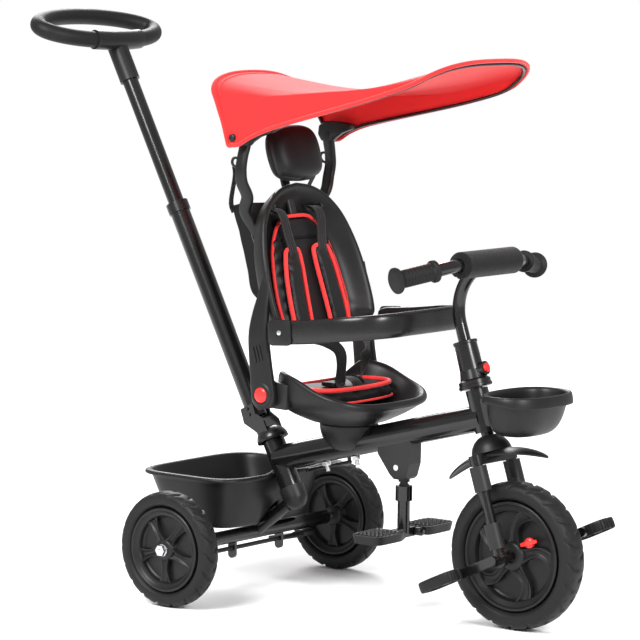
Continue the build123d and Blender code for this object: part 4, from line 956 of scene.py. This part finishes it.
headCushion = finishPiece("headCushion", cubeForm(30, headrestPlace), "headrest_slide",
                          leather,
                          replaces=["headrest"], sharp=180)
headEdge = []
for k in range(48):
    a, b = superRound(2 * pi * k / 48, 4.0)
    headEdge.append(leanFrame(headrest["at"], backLean) @ Vector((-1.5 - 4 * abs(a) ** 3, a * 60.5,
                                                                  b * 48.5)))
pipe("headSeamRing", headEdge, 1.5, "headrest_slide", leather, closed=True)

shoulders = [
    dict(name="Right", path=[(-44, 244, 49), (-50, 215, 50), (-56, 175, 50), (-60, 130, 50), (-60, 88, 49)],
         wide=[34, 46, 50, 50, 46]),
    dict(name="Left", path=[(36, 246, 49), (38, 215, 50), (41, 175, 50), (43, 130, 50), (43, 88, 49)],
         wide=[40, 50, 52, 52, 48]),
]
for pad in shoulders:
    spots = [inBack(*p) for p in pad["path"]]
    widths = [Vector((w, 0, 0)) for w in pad["wide"]]

    def shoulderPlace(x, y, z):
        t = (y + 1) / 2
        here = splinePoint(spots, t)
        wide = splinePoint(widths, t).x / 2 - 3
        rounding = 1 - 0.22 * abs(y) ** 5 * abs(x) ** 2
        return here + Vector((0, x * wide * rounding, 0)) + backFrame.to_3x3() @ Vector((z * 4.2, 0, 0))

    bm = cubeForm(12, shoulderPlace)
    shoulder = inflate(finishPiece("shoulder" + pad["name"], bm, "backrest", leather,
                                   sharp=180,
                                   replaces=["shoulder_pads"]), voxel=4, cap=4)
    edge = []
    for k in range(9):
        t = k / 8
        edge.append(splinePoint(spots, t) + Vector((0, splinePoint(widths, t).x / 2, 0)))
    far = []
    for k in range(9):
        t = 1 - k / 8
        far.append(splinePoint(spots, t) - Vector((0, splinePoint(widths, t).x / 2, 0)))
    lift = backFrame.to_3x3() @ Vector((2.5, 0, 0))
    pipe("shoulderPiping" + pad["name"], [p + lift for p in edge + far], 4.0, "backrest",
         pipingCloth, closed=True)
print("stage: pads")

# The harness is webbing on the surface. It rides with the backrest and the seat.


def makeStrap(name, points, side, body, wide=24, thick=1.8, along=40):
    path = [Vector(p) for p in points]
    bm = sweepSurface(path, roundBar(wide, thick, 5.0, taper=lambda v: (wide, thick)), side, 16, along)
    return finishPiece(name, bm, body, webbing, sharp=50)


across = Vector((0, 1, 0))
for side, label in bothSides:
    topX = side * 54
    low = (-46, 236) if side < 0 else (38, 238)
    makeStrap("harness" + label, [
        inBack(topX, 322, 26), inBack(topX, 316, 46), inBack(topX * 0.98, 300, 56),
        inBack((topX + low[0]) / 2, 268, 55),
        inBack(low[0], low[1], 55), inBack(low[0], low[1] - 22, 52)], across, "backrest")
    frameRing = [inBack(topX + a * 17, 318 + b * 9, 33 + 12 * (1 - b) / 2) for a, b in
                 ((-1, -1), (1, -1), (1.15, 0), (1, 1), (-1, 1), (-1.15, 0))]
    pipe("slotFrame" + label, frameRing, 2.4, "backrest", satinPlastic, closed=True, order=3)
    makeStrap("slotFlap" + label, [inBack(topX - side * 2, 326, 44), inBack(topX + side * 6, 336, 52),
                                   inBack(topX + side * 16, 328, 54), inBack(topX + side * 22, 316, 50)],
              backFrame.to_3x3() @ Vector((0.3, 0, 1)), "backrest", wide=20, along=16)
waist = [
    dict(name="waistRight", path=[inBack(-92, 96, 36), inBack(-80, 84, 62), inBack(-60, 66, 92),
                                  inBack(-44, 40, 104),
                                  Vector((226, -52, 396)), Vector((214, -42, 391))]),
    dict(name="waistLeft", path=[inBack(92, 96, 36), inBack(84, 80, 60), inBack(66, 62, 84),
                                 inBack(52, 40, 88),
                                 Vector((196, 46, 392)), Vector((186, 34, 391))]),
]
for strap in waist:
    makeStrap(strap["name"], strap["path"], lambda v: Vector((0.2, 0.25, 1)), "backrest", wide=20)
makeStrap("crotchStrap", [Vector((226, 0, 378)), Vector((224, 0, 392)), Vector((208, 0, 400)),
                          Vector((190, -6, 399)),
                          Vector((176, -10, 394))], across, "seat", wide=26, along=24)


def bucklePlace(x, y, z):
    return Vector((206 + x * 15, -44 + y * 17, 393 + z * 4.5 * (1 - 0.3 * x * x)))


addSubdivision(finishPiece("waistBuckle", cubeForm(4, bucklePlace), "seat", satinPlastic))
print("stage: harness")

# A canopy post from the shell up to the hoops' bracket, with the bag's hook and loop.
postRoute = [inBack(72, 246, 13), inBack(84, 284, 13), inBack(101, 322, 13), Vector((63, 112, 716)),
             Vector((60, 124, 742)), Vector((61, 128, 764)), Vector((62, 125, 786)), Vector((63, 119, 808)),
             Vector((63, 118, 826))]
postSizes = [(18, 9), (20, 10), (22, 11), (23, 12), (23, 12), (22, 12), (21, 12), (22, 12), (18, 11)]
for side, label in bothSides:
    route = [Vector((p.x, side * p.y, p.z)) for p in postRoute]

    def postSection(u, v):
        wide = splinePoint([Vector((a, b, 0)) for a, b in postSizes], v)
        a, b = superRound(2 * pi * u, 3.0)
        return a * wide.x / 2, b * wide.y / 2

    bm = sweepSurface(route, postSection, (1, 0, 0.15), 24, 60)
    outline = [(42, 818), (50, 806), (74, 806), (80, 812), (96, 822), (116, 829), (118, 838), (92, 842),
               (58, 842),
               (44, 834)]
    joinInto(bm, plateSolid(outline, *sorted((side * 113, side * 126)), 2.2))
    finishPiece("canopyPost" + label, bm, "backrest", satinPlastic,
                replaces=["canopy_posts"],
                sharp=45)
    hookAt = Vector((50, side * 124, 772))
    hook = [hookAt + Vector(p) for p in ((10, 0, -4), (0, side, -6), (-9, side * 2, -2), (-12, side * 2, 7),
                                         (-6, side * 2, 14), (1, side * 2, 12))]
    pipe("bagHook" + label, hook, 2.6, "backrest", satinPlastic)
    makeStrap("bagLoop" + label, [Vector((41, side * 122, 770)), Vector((38, side * 116, 752)),
                                  inBack(side * 104, 348, -10), inBack(side * 96, 330, -16)], (0, 1, 0.1),
              "backrest", wide=12, along=16)

# The storage bag hangs behind the shell.
bag = dict(u=(158, 342), wide=88, back=-27, front=7)


def bagPlace(x, y, z):
    t = (y + 1) / 2
    u = bag["u"][0] + t * (bag["u"][1] - bag["u"][0])
    bottom = sqrt(max(0.0, 1 - (1 - smoothStep(0, 0.22, t)) ** 2 * 0.55))
    wide = bag["wide"] * bottom * (1 + 0.10 * t ** 3 - 0.04 * sin(pi * t))
    sag = 6 * sin(pi * min(1, t * 1.3)) ** 2 * (1 - x * x)
    depth = 1 - 0.35 * t ** 2
    v = (bag["back"] - sag) * depth if z < 0 else bag["front"] * (1 - 0.3 * t)
    v = v * abs(z)
    ripple = 1.4 * noise.noise(Vector((x * 2.2, y * 3.1, 4.0))) * (1 if z < 0 else 0)
    return inBack(x * wide * (1 - 0.06 * (1 - abs(z))), u - 4 * (1 - x * x) * (t ** 4), v + ripple * 2)


bm = cubeForm(26, bagPlace)
bagPiece = finishPiece("storageBag", bm, "backrest", bagCloth, replaces=["storage_bag"],
                       sharp=60)
addSubdivision(bagPiece)
bagHem = [inBack(w, u, v) for w, u, v in ((-94, 338, -14), (-60, 336, -21), (0, 333, -24), (60, 336, -21),
                                           (94, 338, -14))]
pipe("bagHem", bagHem, 2.6, "backrest", webbing)
print("stage: bag and posts")

# The canopy's cloth runs from the rear hoop to the front hoop. Its near and far front corners differ in height.
hood = dict(rearCrown=(-25, 930), frontCrown=(515, 964), sag=41, near=13, far=-4, split=0.62)


def hoodCurve(t, corner, lower, crown, yCorner, power):
    side = -1 if t < 0 else 1
    q = abs(t)
    if q < hood["split"]:
        a = (1 - q / hood["split"]) * pi / 2
        up = sin(a) ** (2 / power)
        out = cos(a) ** (2 / power)
        return Vector((corner[0] + (crown[0] - corner[0]) * up, side * yCorner * out,
                       corner[1] + (crown[1] - corner[1]) * up))
    f = (q - hood["split"]) / (1 - hood["split"])
    spot = splinePoint([Vector((corner[0], yCorner, corner[1]))] + [Vector(p) for p in lower], f)
    return Vector((spot.x, side * spot.y, spot.z))


def hoodPlace(u, v):
    t = u * 2 - 1
    rear = hoodCurve(t, (3, 888), [(15, 134, 868), (27, 138, 848), (38, 142, 824), (45, 144, 806)],
                     hood["rearCrown"], 129, 2.35)
    twist = hood["near"] if t < 0 else hood["far"]
    front = hoodCurve(t, (440, 912 + twist), [(345, 139, 886 + twist * 0.75), (230, 140, 860 + twist * 0.4),
                                              (116, 142, 833), (70, 144, 809)], hood["frontCrown"], 139, 2.9)
    spot = rear.lerp(front, v)
    over = max(0.0, 1 - (abs(t) / hood["split"]) ** 2)
    spot.z -= hood["sag"] * sin(pi * v) ** 1.05 * over ** 0.7
    shoulderSag = max(0.0, 1 - ((abs(t) - hood["split"]) / 0.3) ** 2)
    spot.z -= 3.0 * sin(pi * v) * shoulderSag
    spot.y *= 1 - 0.03 * sin(pi * v) * shoulderSag
    pull = exp(-((abs(t) - 0.93) / 0.12) ** 2) * exp(-v * 3.0)
    ripple = noise.noise(Vector((t * 5.0, v * 7.0, 1.7))) * 1.1 + pull * 1.5 * sin(v * 30)
    spot.z += ripple * sin(pi * v)
    return spot


bm = gridSurface(110, 100, hoodPlace, (0.42, 0.58))
canopySheet = finishPiece("canopySheet", bm, None, canopyCloth, replaces=["canopy"],
                          sharp=180, keepNormals=True)
solid = canopySheet.modifiers.new("cloth", "SOLIDIFY")
solid.thickness = 0.0012
solid.offset = 1
hemRing = []
for k in range(41):
    hemRing.append(hoodPlace(k / 40, 1.0))
for k in range(1, 5):
    hemRing.append(hoodPlace(1.0, 1 - k / 5))
for k in range(41):
    hemRing.append(hoodPlace(1 - k / 40, 0.0))
for k in range(1, 5):
    hemRing.append(hoodPlace(0.0, k / 5))
hem = pipe("canopyHem", hemRing, 3.9, None, hemCloth, closed=True, order=3)
stitch = []
for k in range(61):
    stitch.append(hoodPlace(k / 60 * 0.96 + 0.02, 0.972) + Vector((0, 0, -0.8)))
seam = pipe("canopySeam", stitch, 0.8, None, hemCloth, sides=1)
rearStitch = [hoodPlace(k / 60 * 0.9 + 0.05, 0.03) + Vector((0, 0, 0.6)) for k in range(61)]
rearSeam = pipe("canopyRearSeam", rearStitch, 0.8, None, hemCloth, sides=1)


def hoopPoint(t, v, forward):
    spot = hoodPlace(t, v)
    inward = Vector((spot.x + forward, 0, 835)) - spot
    return spot + inward.normalized() * 5.2


frontHoop = pipe("frontHoopTube", [hoopPoint(0.02 + 0.96 * k / 60, 0.992, -40) for k in range(61)], 3.0,
                 "canopy_front", paintedSteel)
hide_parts("front_hoop")
rearHoop = pipe("rearHoopTube", [hoopPoint(0.06 + 0.88 * k / 60, 0.012, 40) for k in range(61)], 3.0,
                "backrest", paintedSteel)
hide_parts("rear_hoop")
for cloth in (canopySheet, hem, seam, rearSeam):
    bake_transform(cloth)
for side, label in bothSides:
    screw = [(0, 5.0), (4.0, 4.6), (6.5, 3.0), (7.2, 0), (7.2, -6), (0, -6)]
    bm = spinProfile(screw, Vector((54, side * 143.5, 820)), (0, side, 0), 28)
    finishPiece("canopyScrew" + label, bm, "backrest", satinPlastic)
print("stage: canopy")

# A foot plate's tread is a field of raised cells, and its two knuckles turn on the footrest's pin.
plate = dict(x=330, z=138, length=62, wide=84, height=17)
for side, label, body in ((-1, "Right", "foot_plate_right"), (1, "Left", "foot_plate_left")):
    def treadPlace(x, y, z):
        a = x * plate["length"] / 2
        mid = side * (32 + plate["wide"] / 2)
        b = y * plate["wide"] / 2
        outerEnd = y * side
        squeeze = 1 - 0.22 * max(0.0, outerEnd) ** 6 - 0.10 * max(0.0, -outerEnd) ** 6
        a *= squeeze
        b *= 1 - 0.05 * x ** 6
        top = plate["height"] / 2 - 1.0
        if z > 0.98 and abs(x) < 0.88 and abs(y) < 0.9:
            row = int((y + 1) * 7)
            cell = ((x + 1) * 3.5 + (row % 2) * 0.5) % 1.0
            line = ((y + 1) * 7) % 1.0
            top += 1.6 * smoothStep(0.12, 0.22, cell) * smoothStep(0.9, 0.8, cell) * \
                smoothStep(0.18, 0.3, line) * smoothStep(0.86, 0.74, line)
        lower = -plate["height"] / 2 + 1.0
        skirt = 1 - 0.08 * (1 - z) / 2
        height = lower + (top - lower) * (z + 1) / 2
        return Vector((plate["x"] + a * skirt, mid + b * skirt, plate["z"] + 1 + height))

    bm = cubeForm(96, treadPlace)
    for x0 in (-20, 8):
        joinInto(bm, spinProfile([(3.6, 0), (7.4, 0.3), (7.7, 1), (7.7, 11), (7.4, 11.7), (3.6, 12),
                                  (3.6, 0)],
                                 Vector((plate["x"] + x0, side * 28, 138)), (1, 0, 0), 24))

        def lugPlace(x, y, z):
            return Vector((plate["x"] + x0 + 6 + x * 5.6, side * (34 + y * 5), 138 + z * 6))
        joinInto(bm, cubeForm(2, lugPlace))
    finishPiece("footPlate" + label, bm, body, satinPlastic,
                replaces=[label.lower() + "_foot_plate"], sharp=30, merge=0.003)

# The brake bar joins its two pedals behind the axle.
brakeOutline = [(6, 84), (6, 75), (-28, 66), (-74, 59), (-79, 61), (-79, 66), (-36, 73), (-8, 86)]
bm = spinProfile([(0, -167), (3.6, -167), (4, -166.5), (4, 166.5), (3.6, 167), (0, 167)], Vector((0, 0, 80)),
                 (0, 1, 0), 20)
for side in (-1, 1):
    joinInto(bm, plateSolid(brakeOutline, side * 150 - 16, side * 150 + 16, 1.6))
finishPiece("brakeBar", bm, "brake", satinPlastic, replaces=["brake_pedals"], sharp=45)
for side, label in bothSides:
    mark = roundOutline(-60, 0, 22, 20, 5, 4)
    bm = plateSolid(mark, 0, 1.6, 0.4, 1)
    turn = Matrix.Translation((0, side * 150, 68.2)) @ Matrix.Rotation(radians(-9), 4, "Y") @ \
        Matrix.Rotation(radians(90), 4, "X")
    bmesh.ops.transform(bm, matrix=turn, verts=bm.verts)
    finishPiece("brakeMark" + label, bm, "brake", redPlastic)
print("stage: footrest and brake")

# These nodes show as they are, each in its own finish.
dress(paintedSteel, "main_tube", "head_tube", "rear_post", "axle_beam", "fork", "stem", "handlebar", "crank",
      "handle_shaft", "lower_handle_tube", "upper_handle_tube", "steering_rod", "footrest_post")
dress(zinc, "rear_axle", "frame_fasteners", "headset_bearings")
dress(satinPlastic, "post_foot", "seat_cup", "footrest_housing", "fork_covers", "front_bushes", "grip_tee",
      "swivel_plate", "headrest_stem")
dress(glossPlastic, "stem_collar", "post_cap", "handle_collar")
dress(gripRubber, "push_grip")
dress(redPlastic, "stem_button")

# The studio's floor.
bm = bmesh.new()
bmesh.ops.create_grid(bm, x_segments=2, y_segments=2, size=studio["floorSize"] / 2)
mesh = bpy.data.meshes.new("studioFloor")
bm.to_mesh(mesh)
bm.free()
mesh.materials.append(floorPaint)
floor = bpy.data.objects.new("studioFloor", mesh)
bpy.context.scene.collection.objects.link(floor)

print("stage: all pieces in place")
